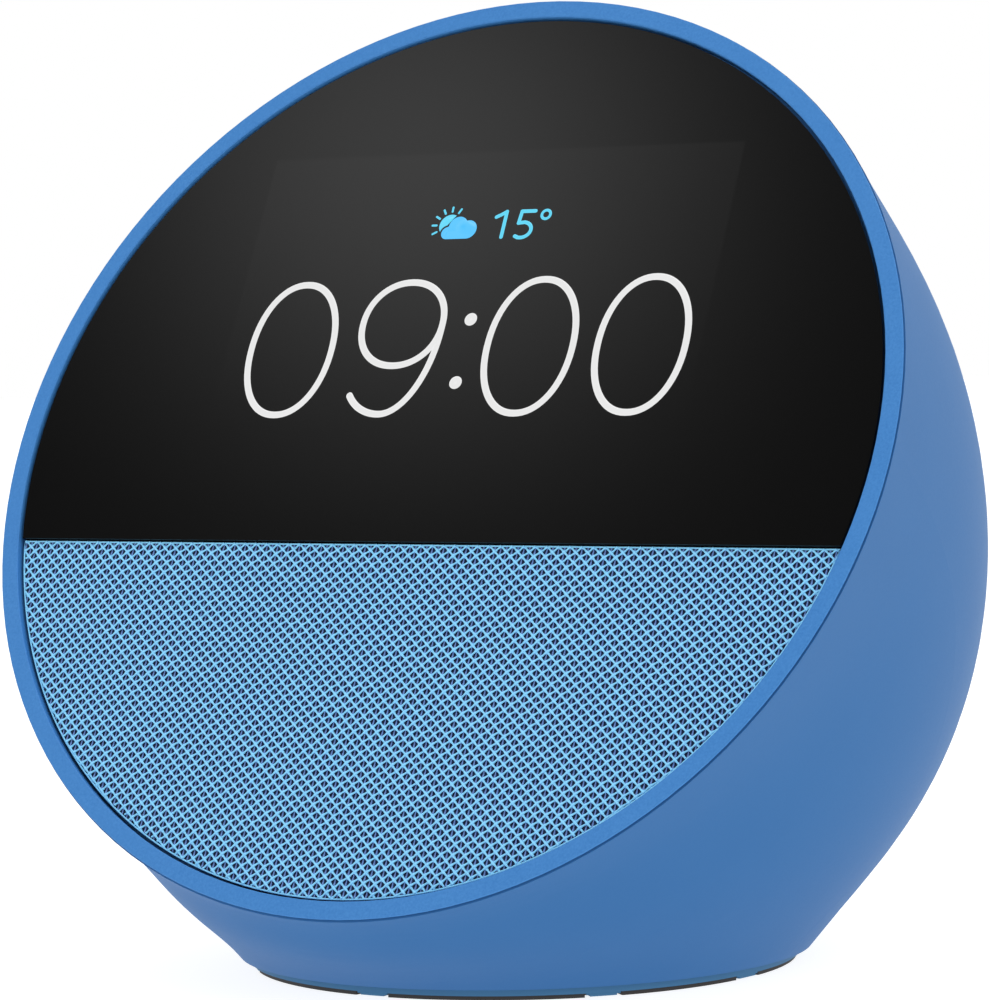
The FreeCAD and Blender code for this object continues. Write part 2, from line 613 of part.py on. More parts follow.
def switch_bodies():
    """The three tactile switches' cases."""
    cases = []
    for x in button_places().values():
        case = block(x - 3.1, x + 3.1, -3.1, 3.1, BUTTON_BOARD_TOP, -7.2)
        cases.append(case.cut(disc(1.7, -8.9, -7, x)))
    return to_buttons(group(cases))


def microphone_boots():
    """Rubber boots that join each microphone to its hole in the housing."""
    boots = [ring(1.9, 0.7, BUTTON_BOARD_TOP + 1.0, 2, side * MIC_X) for side in (-1, 1)]
    return group([to_buttons(boot).common(body(WALL + 0.02)) for boot in boots])


def nodes():
    """Every piece by name, in the display's frame."""
    speaker = {
        "speaker_gasket": ring(19.9, 18.4, FLANGE_FRONT + 0.05, LEDGE_BACK - 0.05, 0, SPEAKER_Y),
        "speaker_basket": basket(),
        "speaker_surround": surround(),
        "speaker_spider": spider(),
        "speaker_cone": cone(),
        "dust_cap": dust_cap(),
        "voice_coil": ring(COIL_OUTER - 0.02, COIL_INNER, -18.4, -11.85, 0, SPEAKER_Y),
        "top_plate": ring(12.4, GAP_RADIUS, -18.0, -16.05, 0, SPEAKER_Y),
        "speaker_magnet": ring(14.6, 8.4, -23.0, -18.0, 0, SPEAKER_Y),
        "magnet_yoke": joined([disc(13.8, -25.0, -23.0, 0, SPEAKER_Y),
                               disc(POLE_RADIUS, -23.0, -16.0, 0, SPEAKER_Y)])
                       .cut(disc(1.5, -30, 0, 0, SPEAKER_Y)),
        "speaker_leads": group([
            Part.makeCylinder(0.65, 9, V(x, -12, SPEAKER_LEAD_LEVEL), V(0, 1, 0))
            for x in (-SPEAKER_LEAD_X, SPEAKER_LEAD_X)]),
        "speaker_screws": group([
            screw(1.6, 1.2, 0.78, 7, *polar(EAR_REACH, a, SPEAKER_Y), FLANGE_FRONT, -1)
            for a in EAR_ANGLES]),
        "enclosure_screws": group([
            screw(1.9, 1.2, 0.78, 6.5, side * LUG_X, SPEAKER_Y, FRAME_FRONT + LUG_THICKNESS, -1)
            for side in (-1, 1)]),
    }
    face = {
        "front_bezel": bezel(),
        "cover_glass": upper(GLASS_RADIUS, GLASS_BACK, GLASS_FRONT, GLASS_EDGE_Y),
        "glass_adhesive": glass_bond(),
        "optical_bond": block(-29.5, 29.5, -8, 35.6, LEDGE_FRONT - 0.04, GLASS_BACK),
        "lcd_panel": block(-SCREEN_WIDTH / 2, SCREEN_WIDTH / 2, SCREEN_LOW, SCREEN_HIGH,
                           PANEL_BACK, LEDGE_FRONT - 0.04),
        "backlight_unit": block(-31.2, 31.2, SCREEN_LOW - 0.2, SCREEN_HIGH + 0.2,
                                BACKLIGHT_BACK, PANEL_BACK),
        "backlight_foam": block(-29, 29, SCREEN_LOW + 2, SCREEN_LOW + 6, BRACKET_FRONT, BACKLIGHT_BACK)
                          .fuse(block(-29, 29, SCREEN_HIGH - 6, SCREEN_HIGH - 2, BRACKET_FRONT,
                                      BACKLIGHT_BACK)),
        "display_bracket": bracket(),
        "display_screws": group([screw(1.9, 1.1, 0.78, 2.8, x, y, BRACKET_BACK, 1)
                                 for x, y in bracket_places()]),
        "lcd_flex": screen_flex(),
        "grille_plate": perforated_plate(),
        "speaker_fabric": lower(FABRIC_RADIUS, FABRIC_BACK, FABRIC_FRONT, FABRIC_EDGE_Y),
        "main_board": main_board(),
        "board_chips": chips(),
        "thermal_pad": block(-8, 6, 10, 24, -14.4, BOARD_BACK - 1.2),
        "heat_spreader": heat_spreader(),
        "shield_can": shield_can(),
        "board_sockets": board_sockets(),
        "board_screws": group([screw(1.9, 1.2, 0.78, 7, x, y, BOARD_FRONT, -1)
                               for x, y in BOARD_SCREWS]),
        "frame_screws": group([screw(2.4, 1.6, 0.98, 13.5, x, y, -19.5, 1)
                               for x, y in post_places()]),
        "button_flex": block(18, 26, 31.6, 42.4, BOARD_FRONT + 0.3, BOARD_FRONT + 0.5),
        "wifi_antennas": group([block(min(s * 30, s * 42), max(s * 30, s * 42), 10, 14, FRAME_BACK - 0.4,
                                      FRAME_BACK) for s in (-1, 1)]),
    }
    top = {
        "button_board": block(-23.5, 23.5, -6.0, 6.8, BUTTON_BOARD_TOP - 1.0, BUTTON_BOARD_TOP)
                        .cut(group([disc(0.95, -20, 0, *p) for p in button_screw_places()])),
        "microphones": group([block(s * MIC_X - 1.75, s * MIC_X + 1.75, -1.3, 1.3, BUTTON_BOARD_TOP,
                                    BUTTON_BOARD_TOP + 1.0) for s in (-1, 1)]),
        "button_board_screws": group([
            screw(1.7, 1.0, 0.78, 3.8, *place, BUTTON_BOARD_TOP - 1.0, 1)
            for place in button_screw_places()]),
    }
    base = {
        "housing": housing(),
        "inner_frame": inner_frame(),
        "speaker_enclosure": enclosure(),
        "base_cover": base_cover(),
        "foot_ring": foot(),
        "base_screws": group([screw(1.9, 0.7, 0.88, 8.4, *polar(BASE_SCREW_REACH, a, BASE_Y), 1.75, 1)
                              for a in BASE_SCREW_ANGLES]),
        "power_board": block(-12, 12, 12, 31, POWER_BOARD_LOW, POWER_BOARD_TOP)
                       .cut(group([disc(1.1, 0, 20, x, y) for x, y in POWER_SCREWS])),
        "power_socket": power_socket(),
        "power_pin": power_pin(),
        "power_contact": power_contact(),
        "power_lead": power_lead(),
        "power_parts": group([disc(2.2, POWER_BOARD_TOP, 18, -8.6, 21.6),
                              block(6.4, 11, 19, 25, POWER_BOARD_TOP, 15.6),
                              block(2.0, 6.8, 12.4, 14.6, POWER_BOARD_TOP, 15.4)]),
        "power_board_screws": group([screw(1.8, 1.0, 0.78, 5.6, x, y, POWER_BOARD_TOP, -1)
                                     for x, y in POWER_SCREWS]),
        "switch_bodies": switch_bodies(),
        "microphone_boots": microphone_boots(),
    }
    for name, x in button_places().items():
        base[name + "_button"] = button_cap(x)
        base[name + "_plunger"] = switch_plunger(x)
    pieces = {name: to_face(shape) for name, shape in {**face, **speaker}.items()}
    pieces.update({name: to_buttons(shape) for name, shape in top.items()})
    pieces.update(base)
    return pieces


os.makedirs("parts", exist_ok=True)
for node, solid in nodes().items():
    print(f"{node}: {len(solid.Solids)} solids, valid {solid.isValid()}, {solid.Volume:.0f} mm3")
    solid.exportStep(f"parts/{node}.step")
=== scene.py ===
"""The looks of a round-faced smart display, built on its packed mechanical frame.

Lengths are metres in the frame's own axes: +Z up, the face looking along -Y and leaning back.
Sizes of the pieces added here are written in millimetres and multiplied by MM.

The face pieces are drawn in the face's plane: X across, Y up the face, Z out of it.
"""
import json
import logging
import math
from dataclasses import dataclass
from enum import Enum

import bmesh
import bpy
from mathutils import Matrix, Vector
from mathutils.bvhtree import BVHTree

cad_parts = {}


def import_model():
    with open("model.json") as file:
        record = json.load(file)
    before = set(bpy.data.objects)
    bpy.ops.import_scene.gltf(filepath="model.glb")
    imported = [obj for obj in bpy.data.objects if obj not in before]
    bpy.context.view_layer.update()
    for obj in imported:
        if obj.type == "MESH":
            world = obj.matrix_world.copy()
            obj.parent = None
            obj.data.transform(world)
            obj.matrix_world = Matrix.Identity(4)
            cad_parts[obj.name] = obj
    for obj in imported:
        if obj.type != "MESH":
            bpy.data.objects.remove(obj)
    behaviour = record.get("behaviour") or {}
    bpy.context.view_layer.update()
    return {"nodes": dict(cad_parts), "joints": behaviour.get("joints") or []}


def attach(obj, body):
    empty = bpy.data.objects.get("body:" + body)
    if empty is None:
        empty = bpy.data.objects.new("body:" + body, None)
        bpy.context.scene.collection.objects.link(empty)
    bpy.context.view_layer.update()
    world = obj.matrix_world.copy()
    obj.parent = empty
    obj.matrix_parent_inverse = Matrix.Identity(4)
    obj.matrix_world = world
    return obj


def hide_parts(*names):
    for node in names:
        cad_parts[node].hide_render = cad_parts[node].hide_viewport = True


MM = 0.001
LOG = logging.getLogger("smart_display")

# values or output sockets for a node's inputs, by name or index
Inputs = dict[int | str, object]


# ---- helpers ----

def linear(colour: str, alpha: float = 1.0) -> tuple[float, float, float, float]:
    """Turn an sRGB hex colour into linear light.

    Args:
        colour: six hex digits after a hash sign.
        alpha: the fourth channel, kept as it is.

    Returns:
        Red, green, blue and alpha, each from 0 to 1.
    """
    channels = []
    for start in (1, 3, 5):
        value = int(colour[start:start + 2], 16) / 255
        low = value <= 0.04045
        channels.append(value / 12.92 if low else ((value + 0.055) / 1.055) ** 2.4)
    return channels[0], channels[1], channels[2], alpha


def feed(tree: bpy.types.NodeTree, node: bpy.types.Node, inputs: Inputs) -> None:
    """Give a node's inputs their values and links.

    Args:
        tree: the tree that holds the node.
        node: the node.
        inputs: a value or an output socket for each input, by name or index.
    """
    for key, value in inputs.items():
        if isinstance(value, bpy.types.NodeSocket):
            tree.links.new(value, node.inputs[key])
        else:
            node.inputs[key].default_value = value


def add_node(tree: bpy.types.NodeTree, kind: str, inputs: Inputs | None = None,
             **settings: object) -> bpy.types.Node:
    """Add one node with its settings, its values and its links.

    Args:
        tree: the tree that gets the node.
        kind: the node's type name.
        inputs: a value or an output socket for each input, by name or index.
        **settings: the node's own properties.

    Returns:
        The new node.
    """
    node = tree.nodes.new(kind)
    for name, value in settings.items():
        setattr(node, name, value)
    feed(tree, node, inputs or {})
    return node


def new_object(name: str, mesh: bpy.types.Mesh, place: Matrix | None = None) -> bpy.types.Object:
    """Link a mesh as an object at the origin.

    Args:
        name: the piece's name.
        mesh: its mesh.
        place: where the mesh goes, applied to its vertices.

    Returns:
        The new object.
    """
    if place is not None:
        mesh.transform(place)
    mesh.name = name
    piece = bpy.data.objects.new(name, mesh)
    bpy.context.scene.collection.objects.link(piece)
    return piece


def finished_mesh(form: bmesh.types.BMesh, name: str) -> bpy.types.Mesh:
    """Turn a mesh under construction into a finished one, and free it.

    Args:
        form: the mesh under construction.
        name: the finished mesh's name.

    Returns:
        The finished mesh.
    """
    mesh = bpy.data.meshes.new(name)
    form.to_mesh(mesh)
    form.free()
    return mesh


def new_material(name: str) -> tuple[bpy.types.Material, bpy.types.NodeTree, bpy.types.Node]:
    """Make a material that has only its shader.

    Args:
        name: the material's name.

    Returns:
        The material, its tree and its shader.
    """
    material = bpy.data.materials.new(name)
    material.use_nodes = True
    tree = material.node_tree
    return material, tree, tree.nodes["Principled BSDF"]


def dress(piece: bpy.types.Object, material: bpy.types.Material) -> None:
    """Give a piece one material in place of any it has."""
    piece.data.materials.clear()
    piece.data.materials.append(material)


@dataclass(frozen=True)
class PlaneFrame:
    """A flat face of the display with its own axes: across, up and out of it."""

    origin: Vector
    across: Vector
    up: Vector
    out: Vector

    @classmethod
    def on_top_of(cls, node: bpy.types.Object, out: Vector) -> "PlaneFrame":
        """Find the middle of a node's outermost plane.

        Args:
            node: the node that carries the plane.
            out: the plane's normal.

        Returns:
            A frame whose origin lies in that plane, in the middle of the node's extents.
        """
        across = Vector((1, 0, 0))
        out = out.normalized()
        up = out.cross(across)
        lows, highs = [], []
        for axis in (across, up, out):
            reaches = [vertex.co.dot(axis) for vertex in node.data.vertices]
            lows.append(min(reaches))
            highs.append(max(reaches))
        middle = across * (lows[0] + highs[0]) / 2 + up * (lows[1] + highs[1]) / 2
        return cls(middle + out * highs[2], across, up, out)

    def matrix(self) -> Matrix:
        """The matrix that carries plane coordinates into the display's frame."""
        turn = Matrix((self.across, self.up, self.out)).transposed().to_4x4()
        return Matrix.Translation(self.origin) @ turn


# ---- finishes ----

class Relief(Enum):
    """How a surface was made, which sets the relief that the eye sees."""

    GRAINED = "grained"
    BRUSHED = "brushed"
    CELLS = "cells"
    WOVEN = "woven"


@dataclass(frozen=True)
class Finish:
    """A solid finish: a colour that drifts a little towards a second one, over a fine relief."""

    name: str
    colour: str
    drift: str
    roughness: float
    grain_mm: float
    height_mm: float
    relief: Relief = Relief.GRAINED
    metallic: float = 0.0
    ior: float = 1.5
    gloss: float = 0.5
    speckle: float = 0.35
    drift_mm: float = 9.0
    brush_stretch: float = 0.03
    roughness_spread: float = 0.05

    def pattern(self, tree: bpy.types.NodeTree) -> bpy.types.NodeSocket:
        """Add the relief's texture.

        Args:
            tree: the material's tree.

        Returns:
            The socket with the relief's height, from 0 to 1.
        """
        where = add_node(tree, "ShaderNodeTexCoord").outputs["Object"]
        scale = 1 / (self.grain_mm * MM)
        if self.relief is Relief.BRUSHED:
            stretched = add_node(tree, "ShaderNodeMapping", {
                "Vector": where, "Scale": (self.brush_stretch, 1, 1)})
            lines = {"Vector": stretched.outputs[0], "Scale": scale, "Detail": 3.0}
            return add_node(tree, "ShaderNodeTexNoise", lines).outputs["Fac"]
        if self.relief is Relief.CELLS:
            cells = {"Vector": where, "Scale": scale}
            return add_node(tree, "ShaderNodeTexVoronoi", cells).outputs["Distance"]
        if self.relief is Relief.WOVEN:
            # a wave's scale of 1 gives 20 bands in 2 pi units
            bands = {"Vector": where, "Scale": scale * math.pi / 10}
            warp = add_node(tree, "ShaderNodeTexWave", bands, bands_direction="X")
            weft = add_node(tree, "ShaderNodeTexWave", bands, bands_direction="Z")
            both = {0: warp.outputs["Fac"], 1: weft.outputs["Fac"]}
            return add_node(tree, "ShaderNodeMath", both, operation="MAXIMUM").outputs[0]
        grain = {"Vector": where, "Scale": scale, "Detail": 4.0, "Roughness": 0.6}
        return add_node(tree, "ShaderNodeTexNoise", grain).outputs["Fac"]

    def build(self) -> bpy.types.Material:
        """Build the material, or return it if it is built already."""
        if self.name in bpy.data.materials:
            return bpy.data.materials[self.name]
        material, tree, shader = new_material(self.name)
        height = self.pattern(tree)
        where = add_node(tree, "ShaderNodeTexCoord").outputs["Object"]
        broad = {"Vector": where, "Scale": 1 / (self.drift_mm * MM), "Detail": 2.0}
        drift = add_node(tree, "ShaderNodeTexNoise", broad).outputs["Fac"]
        share = add_node(tree, "ShaderNodeMix", {0: self.speckle, 2: drift, 3: height}).outputs[0]
        mixed = {0: share, 6: linear(self.colour), 7: linear(self.drift)}
        colour = add_node(tree, "ShaderNodeMix", mixed, data_type="RGBA").outputs[2]
        spread = {"Value": height, "To Min": self.roughness - self.roughness_spread,
                  "To Max": self.roughness + self.roughness_spread}
        roughness = add_node(tree, "ShaderNodeMapRange", spread).outputs[0]
        bump = {"Strength": 1.0, "Distance": self.height_mm * MM, "Height": height}
        normal = add_node(tree, "ShaderNodeBump", bump).outputs[0]
        feed(tree, shader, {"Base Color": colour, "Roughness": roughness, "Normal": normal,
                            "Metallic": self.metallic, "IOR": self.ior,
                            "Specular IOR Level": self.gloss})
        return material


@dataclass(frozen=True)
class PrintedGlass:
    """Float glass with its back printed black, clear in front of a screen that is lit but dark."""

    plane: PlaneFrame
    name: str = "printed_float_glass"
    printed: str = "#0C0C0C"
    screen: str = "#151515"
    screen_low: float = -9.2 * MM
    screen_high: float = 36.8 * MM
    half_width: float = 30.8 * MM
    edge: float = 0.15 * MM
    roughness: float = 0.04
    ior: float = 1.46

    def build(self) -> bpy.types.Material:
        """Build the glass: near-black under a clean gloss, a shade lighter over the screen, with a
        painted reflection that makes that shade stronger towards the top.
        """
        material, tree, shader = new_material(self.name)
        where = add_node(tree, "ShaderNodeTexCoord").outputs["Object"]
        turn = self.plane.matrix().to_euler()
        half_height = (self.screen_high - self.screen_low) / 2
        centre = self.plane.origin + self.plane.up * (self.screen_low + self.screen_high) / 2
        flat = add_node(tree, "ShaderNodeMapping", {"Vector": where, "Location": centre,
                                                    "Rotation": turn}, vector_type="TEXTURE")
        sides = add_node(tree, "ShaderNodeSeparateXYZ", {0: flat.outputs[0]})
        shares = []
        for axis, half in ((0, self.half_width), (1, half_height)):
            reach = add_node(tree, "ShaderNodeMath", {0: sides.outputs[axis]}, operation="ABSOLUTE")
            inside = {"Value": reach.outputs[0], "From Min": half + self.edge,
                      "From Max": half - self.edge}
            shares.append(add_node(tree, "ShaderNodeMapRange", inside).outputs[0])
        share = add_node(tree, "ShaderNodeMath", {0: shares[0], 1: shares[1]}, operation="MULTIPLY")
        # painted reflection: the screen's lighter grey is painted stronger towards the top, as the lamp
        # up and to the left would light it, and fades out below the screen's middle
        painted_reflection_fade = add_node(tree, "ShaderNodeMapRange", {
            "Value": sides.outputs[1], "From Min": -half_height / 2, "From Max": half_height})
        painted_reflection_share = add_node(tree, "ShaderNodeMath", {0: share.outputs[0], 1: painted_reflection_fade.outputs[0]},
                         operation="MULTIPLY")
        mixed = {0: painted_reflection_share.outputs[0], 6: linear(self.printed), 7: linear(self.screen)}
        colour = add_node(tree, "ShaderNodeMix", mixed, data_type="RGBA").outputs[2]
        feed(tree, shader, {"Base Color": colour, "Roughness": self.roughness, "IOR": self.ior})
        return material


@dataclass(frozen=True)
class Lit:
    """A lit part of the screen's picture."""

    name: str
    colour: str
    strength: float
    unlit: str = "#101010"
    roughness: float = 0.3
    cloud_mm: float = 12.0
    unevenness: float = 0.03

    def build(self) -> bpy.types.Material:
        """Build the material: it gives its own light, as the backlit screen does."""
        material, tree, shader = new_material(self.name)
        # the backlight is a touch uneven
        where = add_node(tree, "ShaderNodeTexCoord").outputs["Object"]
        cloud = add_node(tree, "ShaderNodeTexNoise", {
            "Vector": where, "Scale": 1 / (self.cloud_mm * MM)})
        bright = {"Value": cloud.outputs["Fac"], "To Min": self.strength * (1 - self.unevenness),
                  "To Max": self.strength * (1 + self.unevenness)}
        level = add_node(tree, "ShaderNodeMapRange", bright).outputs[0]
        feed(tree, shader, {"Emission Strength": level, "Base Color": linear(self.unlit),
                            "Roughness": self.roughness, "Emission Color": linear(self.colour)})
        return material


# most real grains are 0.02 to 0.15 mm, too fine to show, and are drawn 0.12 to 0.6 mm instead
# ABS with a fine spark-eroded texture: an even satin, a little cloudy
HOUSING_BLUE = Finish("housing_moulded_abs", "#356AA1", "#31669D", 0.55, 0.35, 0.004, gloss=0.15)
# the same ABS with a deeper grain, which speckles it
BEZEL_BLUE = Finish("bezel_moulded_abs", "#2468AC", "#4C8CCC", 0.55,
                    0.3, 0.012, gloss=0.25, speckle=0.8)
BUTTON_BLUE = Finish("button_moulded_abs", "#3468A0", "#31649B", 0.5, 0.3, 0.004, gloss=0.18)
MARK_BLUE = Finish("button_mark_abs", "#1F4778", "#1C4170", 0.5, 0.2, 0.003, gloss=0.3)
BASE_BLUE = Finish("base_moulded_abs", "#47799F", "#43749A", 0.55, 0.35, 0.005, gloss=0.15)
# solid-dyed polyester: bright, matt, furry at the thread's scale
YARN_LIGHT = Finish("polyester_yarn_light", "#92D8FA", "#78C6F2", 0.8, 0.12, 0.01, drift_mm=0.9)
YARN_MIDDLE = Finish("polyester_yarn_middle", "#7492CC", "#6082C0", 0.85, 0.12, 0.01, drift_mm=0.9)
CLOTH_NAVY = Finish("polyester_ground_navy", "#10284E", "#0C2042", 0.9,
                    0.3, 0.02, Relief.WOVEN, drift_mm=2.0)
# silicone rubber and closed-cell foam: matt and dark
FOOT_RUBBER = Finish("silicone_foot", "#353232", "#2C2A2A", 0.75, 0.25, 0.01)
SURROUND_RUBBER = Finish("butyl_rubber", "#1C1C1C", "#232323", 0.6, 0.3, 0.006)
ADHESIVE = Finish("acrylic_foam_tape", "#141414", "#1A1A1A", 0.7, 0.3, 0.01, Relief.CELLS)
FOAM = Finish("closed_cell_foam", "#1F1F1F", "#2A2A2A", 0.9, 0.5, 0.05, Relief.CELLS)
THERMAL_PAD = Finish("silicone_pad", "#8892A6", "#7F899C", 0.7, 0.4, 0.01)
# metals: plated, rolled, turned and wound; the lacquer and the ferrite show no bare metal
PRESSED_STEEL = Finish("zinc_plated_sheet", "#B4B7BA", "#A6ABB0", 0.36,
                       0.25, 0.004, Relief.BRUSHED, metallic=1.0)
SCREW_STEEL = Finish("zinc_plated_screw", "#A9AAAC", "#9A9CA0", 0.3, 0.2, 0.003, metallic=1.0)
TINNED = Finish("tin_plated_sheet", "#C4C4BE", "#B6B6B0", 0.28,
                0.3, 0.003, Relief.BRUSHED, metallic=1.0)
ALUMINIUM = Finish("rolled_aluminium", "#D2D4D6", "#C6C9CC", 0.33,
                   0.2, 0.004, Relief.BRUSHED, metallic=1.0)
MAGNET_STEEL = Finish("turned_steel", "#8A8C90", "#7C7F84", 0.3,
                      0.3, 0.004, Relief.BRUSHED, metallic=1.0)
CONTACT = Finish("nickel_plate", "#C9C4B6", "#BDB8AA", 0.22, 0.2, 0.002, metallic=1.0)
MIC_METAL = Finish("gold_flashed_can", "#CDB878", "#C0AB6C", 0.3, 0.2, 0.002, metallic=1.0)
COPPER = Finish("enamelled_copper", "#C0703E", "#AF6236", 0.32,
                0.16, 0.02, Relief.BRUSHED, metallic=1.0)
BASKET = Finish("black_lacquered_steel", "#181818", "#202020", 0.42, 0.4, 0.006)
FERRITE = Finish("ground_ferrite", "#26262A", "#2F2F33", 0.55, 0.2, 0.006, Relief.BRUSHED)
# boards, flexible circuits and mouldings inside
BOARD = Finish("solder_mask_board", "#0F4A2A", "#0B3D22", 0.32, 0.4, 0.006, Relief.WOVEN)
POLYIMIDE = Finish("polyimide_film", "#B9742A", "#A96620", 0.3, 0.5, 0.004, Relief.BRUSHED)
CHIP = Finish("epoxy_moulding", "#1A1A1B", "#222223", 0.55, 0.2, 0.004)
SOCKET_IVORY = Finish("nylon_ivory", "#DCD4BC", "#D2C9AE", 0.4, 0.3, 0.003)
SOCKET_BLACK = Finish("nylon_black", "#161616", "#1E1E1E", 0.45, 0.3, 0.004)
WIRE = Finish("pvc_insulation", "#8C1C1C", "#7E1717", 0.4, 0.5, 0.002)
FRAME_GREY = Finish("glass_filled_nylon", "#383A3C", "#424446", 0.55, 0.4, 0.01)
ENCLOSURE = Finish("black_moulded_abs", "#141414", "#1A1A1A", 0.5, 0.4, 0.006)
GRILLE = Finish("dark_moulded_abs", "#0C1220", "#0A0F1A", 0.6, 0.3, 0.006)
BACKLIGHT = Finish("white_polycarbonate", "#DADAD4", "#D0D0CA", 0.35, 0.5, 0.003)
LCD_GLASS = Finish("display_laminate", "#0E0E12", "#121216", 0.12, 0.5, 0.001)
BOND = Finish("optical_adhesive", "#202024", "#242428", 0.15, 0.6, 0.001, ior=1.48)
SPIDER = Finish("resin_stiffened_cotton", "#B38A46", "#A57C3A", 0.85, 0.5, 0.05, Relief.WOVEN)
PAPER = Finish("pressed_paper_pulp", "#1D1D1D", "#272727", 0.85, 0.25, 0.03)
# the screen's lit colours
SCREEN_WHITE = Lit("screen_white", "#E6E6E6", 1.0)
SCREEN_CYAN = Lit("screen_cyan", "#5DD8F8", 0.97)
SCREEN_SKY_BLUE = Lit("screen_sky_blue", "#4DC4FF", 0.97)

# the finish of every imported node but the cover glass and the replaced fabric
NODE_FINISHES = {
    "housing": HOUSING_BLUE, "front_bezel": BEZEL_BLUE, "base_cover": BASE_BLUE,
    "foot_ring": FOOT_RUBBER, "glass_adhesive": ADHESIVE, "optical_bond": BOND,
    "lcd_panel": LCD_GLASS, "backlight_unit": BACKLIGHT, "backlight_foam": FOAM,
    "display_bracket": PRESSED_STEEL, "lcd_flex": POLYIMIDE, "grille_plate": GRILLE,
    "main_board": BOARD, "board_chips": CHIP, "thermal_pad": THERMAL_PAD,
    "heat_spreader": ALUMINIUM, "shield_can": TINNED, "board_sockets": SOCKET_IVORY,
    "button_flex": POLYIMIDE, "wifi_antennas": POLYIMIDE, "power_lead": WIRE,
    "speaker_gasket": FOAM, "speaker_basket": BASKET, "speaker_surround": SURROUND_RUBBER,
    "speaker_spider": SPIDER, "speaker_cone": PAPER, "dust_cap": PAPER, "voice_coil": COPPER,
    "top_plate": MAGNET_STEEL, "speaker_magnet": FERRITE, "magnet_yoke": MAGNET_STEEL,
    "speaker_leads": WIRE, "button_board": BOARD, "microphones": MIC_METAL,
    "inner_frame": FRAME_GREY, "speaker_enclosure": ENCLOSURE, "power_board": BOARD,
    "power_socket": SOCKET_BLACK, "power_pin": CONTACT, "power_contact": CONTACT,
    "power_parts": CHIP, "switch_bodies": SOCKET_BLACK, "microphone_boots": SURROUND_RUBBER,
}
for _held in ("display", "board", "frame", "speaker", "enclosure", "button_board", "base",
              "power_board"):
    NODE_FINISHES[_held + "_screws"] = SCREW_STEEL
for _button in ("volume_down", "volume_up", "mic_mute"):
    NODE_FINISHES[_button + "_button"] = BUTTON_BLUE
    NODE_FINISHES[_button + "_plunger"] = SOCKET_IVORY


# ---- drawn marks ----

Point = tuple[float, float]


def arc(middle: Point, half_width: float, half_height: float, start: float, end: float,
        steps: int, squareness: float = 2.0) -> list[Point]:
    """Points along part of an oval.

    Args:
        middle: the oval's middle.
        half_width: its reach to each side.
        half_height: its reach up and down.
        start: the first point's angle in degrees, from the right and anticlockwise.
        end: the last point's angle.
        steps: how many points, both ends counted.
        squareness: 2 for an ellipse, more for fuller corners.

    Returns:
        The points in order.
    """
    power = 2 / squareness
    points = []
    for step in range(steps):
        angle = math.radians(start + (end - start) * step / (steps - 1))
        c, s = math.cos(angle), math.sin(angle)
        points.append((middle[0] + half_width * math.copysign(abs(c) ** power, c),
                       middle[1] + half_height * math.copysign(abs(s) ** power, s)))
    return points


def oval(middle: Point, half_width: float, half_height: float, steps: int,
         squareness: float = 2.0) -> list[Point]:
    """Points all round an oval, anticlockwise from the right, for a closed stroke."""
    return arc(middle, half_width, half_height, 0, 360 - 360 / steps, steps, squareness)


@dataclass(frozen=True)
class Stroke:
    """A drawn line with round ends, or a loop, raised a little from its surface."""

    points: list[Point]
    width: float
    closed: bool = False
    sides: int = 8
    cap_steps: int = 4

    def rings(self) -> list[tuple[Vector, Vector, float]]:
        """The middle, side direction and half-width of each cross-section."""
        flat = [Vector(p).to_3d() for p in self.points]
        count = len(flat)
        rings = []
        for index, point in enumerate(flat):
            before = flat[index - 1] if self.closed or index else point
            after = flat[(index + 1) % count] if self.closed or index < count - 1 else point
            along = (after - before).normalized()
            rings.append((point, Vector((-along.y, along.x, 0)), self.width / 2))
        if self.closed:
            return rings
        ends = []
        for (point, side, half), outward in ((rings[0], -1), (rings[-1], 1)):
            along = Vector((side.y, -side.x, 0)) * outward
            cap = []
            for step in range(1, self.cap_steps):
                angle = math.pi / 2 * step / self.cap_steps
                cap.append((point + along * half * math.sin(angle), side, half * math.cos(angle)))
            ends.append(cap)
        return ends[0][::-1] + rings + ends[1]

    def add_to(self, form: bmesh.types.BMesh, height: float) -> None:
        """Sweep the line's flat oval section into a mesh.

        Args:
            form: the mesh that gets the stroke.
            height: how far the stroke stands above and below its plane.
        """
        loops = []
        for point, side, half in self.rings():
            loop = []
            for corner in range(self.sides):
                angle = 2 * math.pi * (corner + 0.5) / self.sides
                lift = Vector((0, 0, height * math.sin(angle)))
                loop.append(form.verts.new(point + side * half * math.cos(angle) + lift))
            loops.append(loop)
        pairs = list(zip(loops, loops[1:]))
        if self.closed:
            pairs.append((loops[-1], loops[0]))
        for first, second in pairs:
            for corner in range(self.sides):
                after = (corner + 1) % self.sides
                form.faces.new((first[corner], first[after], second[after], second[corner]))
        if not self.closed:
            form.faces.new(loops[0])
            form.faces.new(loops[-1][::-1])


@dataclass(frozen=True)
class Patch:
    """A filled outline, raised a little from its surface."""

    rim: list[Point]

    def add_to(self, form: bmesh.types.BMesh, height: float) -> None:
        """Add the outline as a thin plate.

        Args:
            form: the mesh that gets the patch.
            height: how far the patch stands above and below its plane.
        """
        low, high = ([form.verts.new((x, y, z)) for x, y in self.rim] for z in (-height, height))
        caps = [form.faces.new(low), form.faces.new(high)]
        for index, corner in enumerate(low):
            form.faces.new((low[index - 1], corner, high[index], high[index - 1]))
        bmesh.ops.triangulate(form, faces=caps)


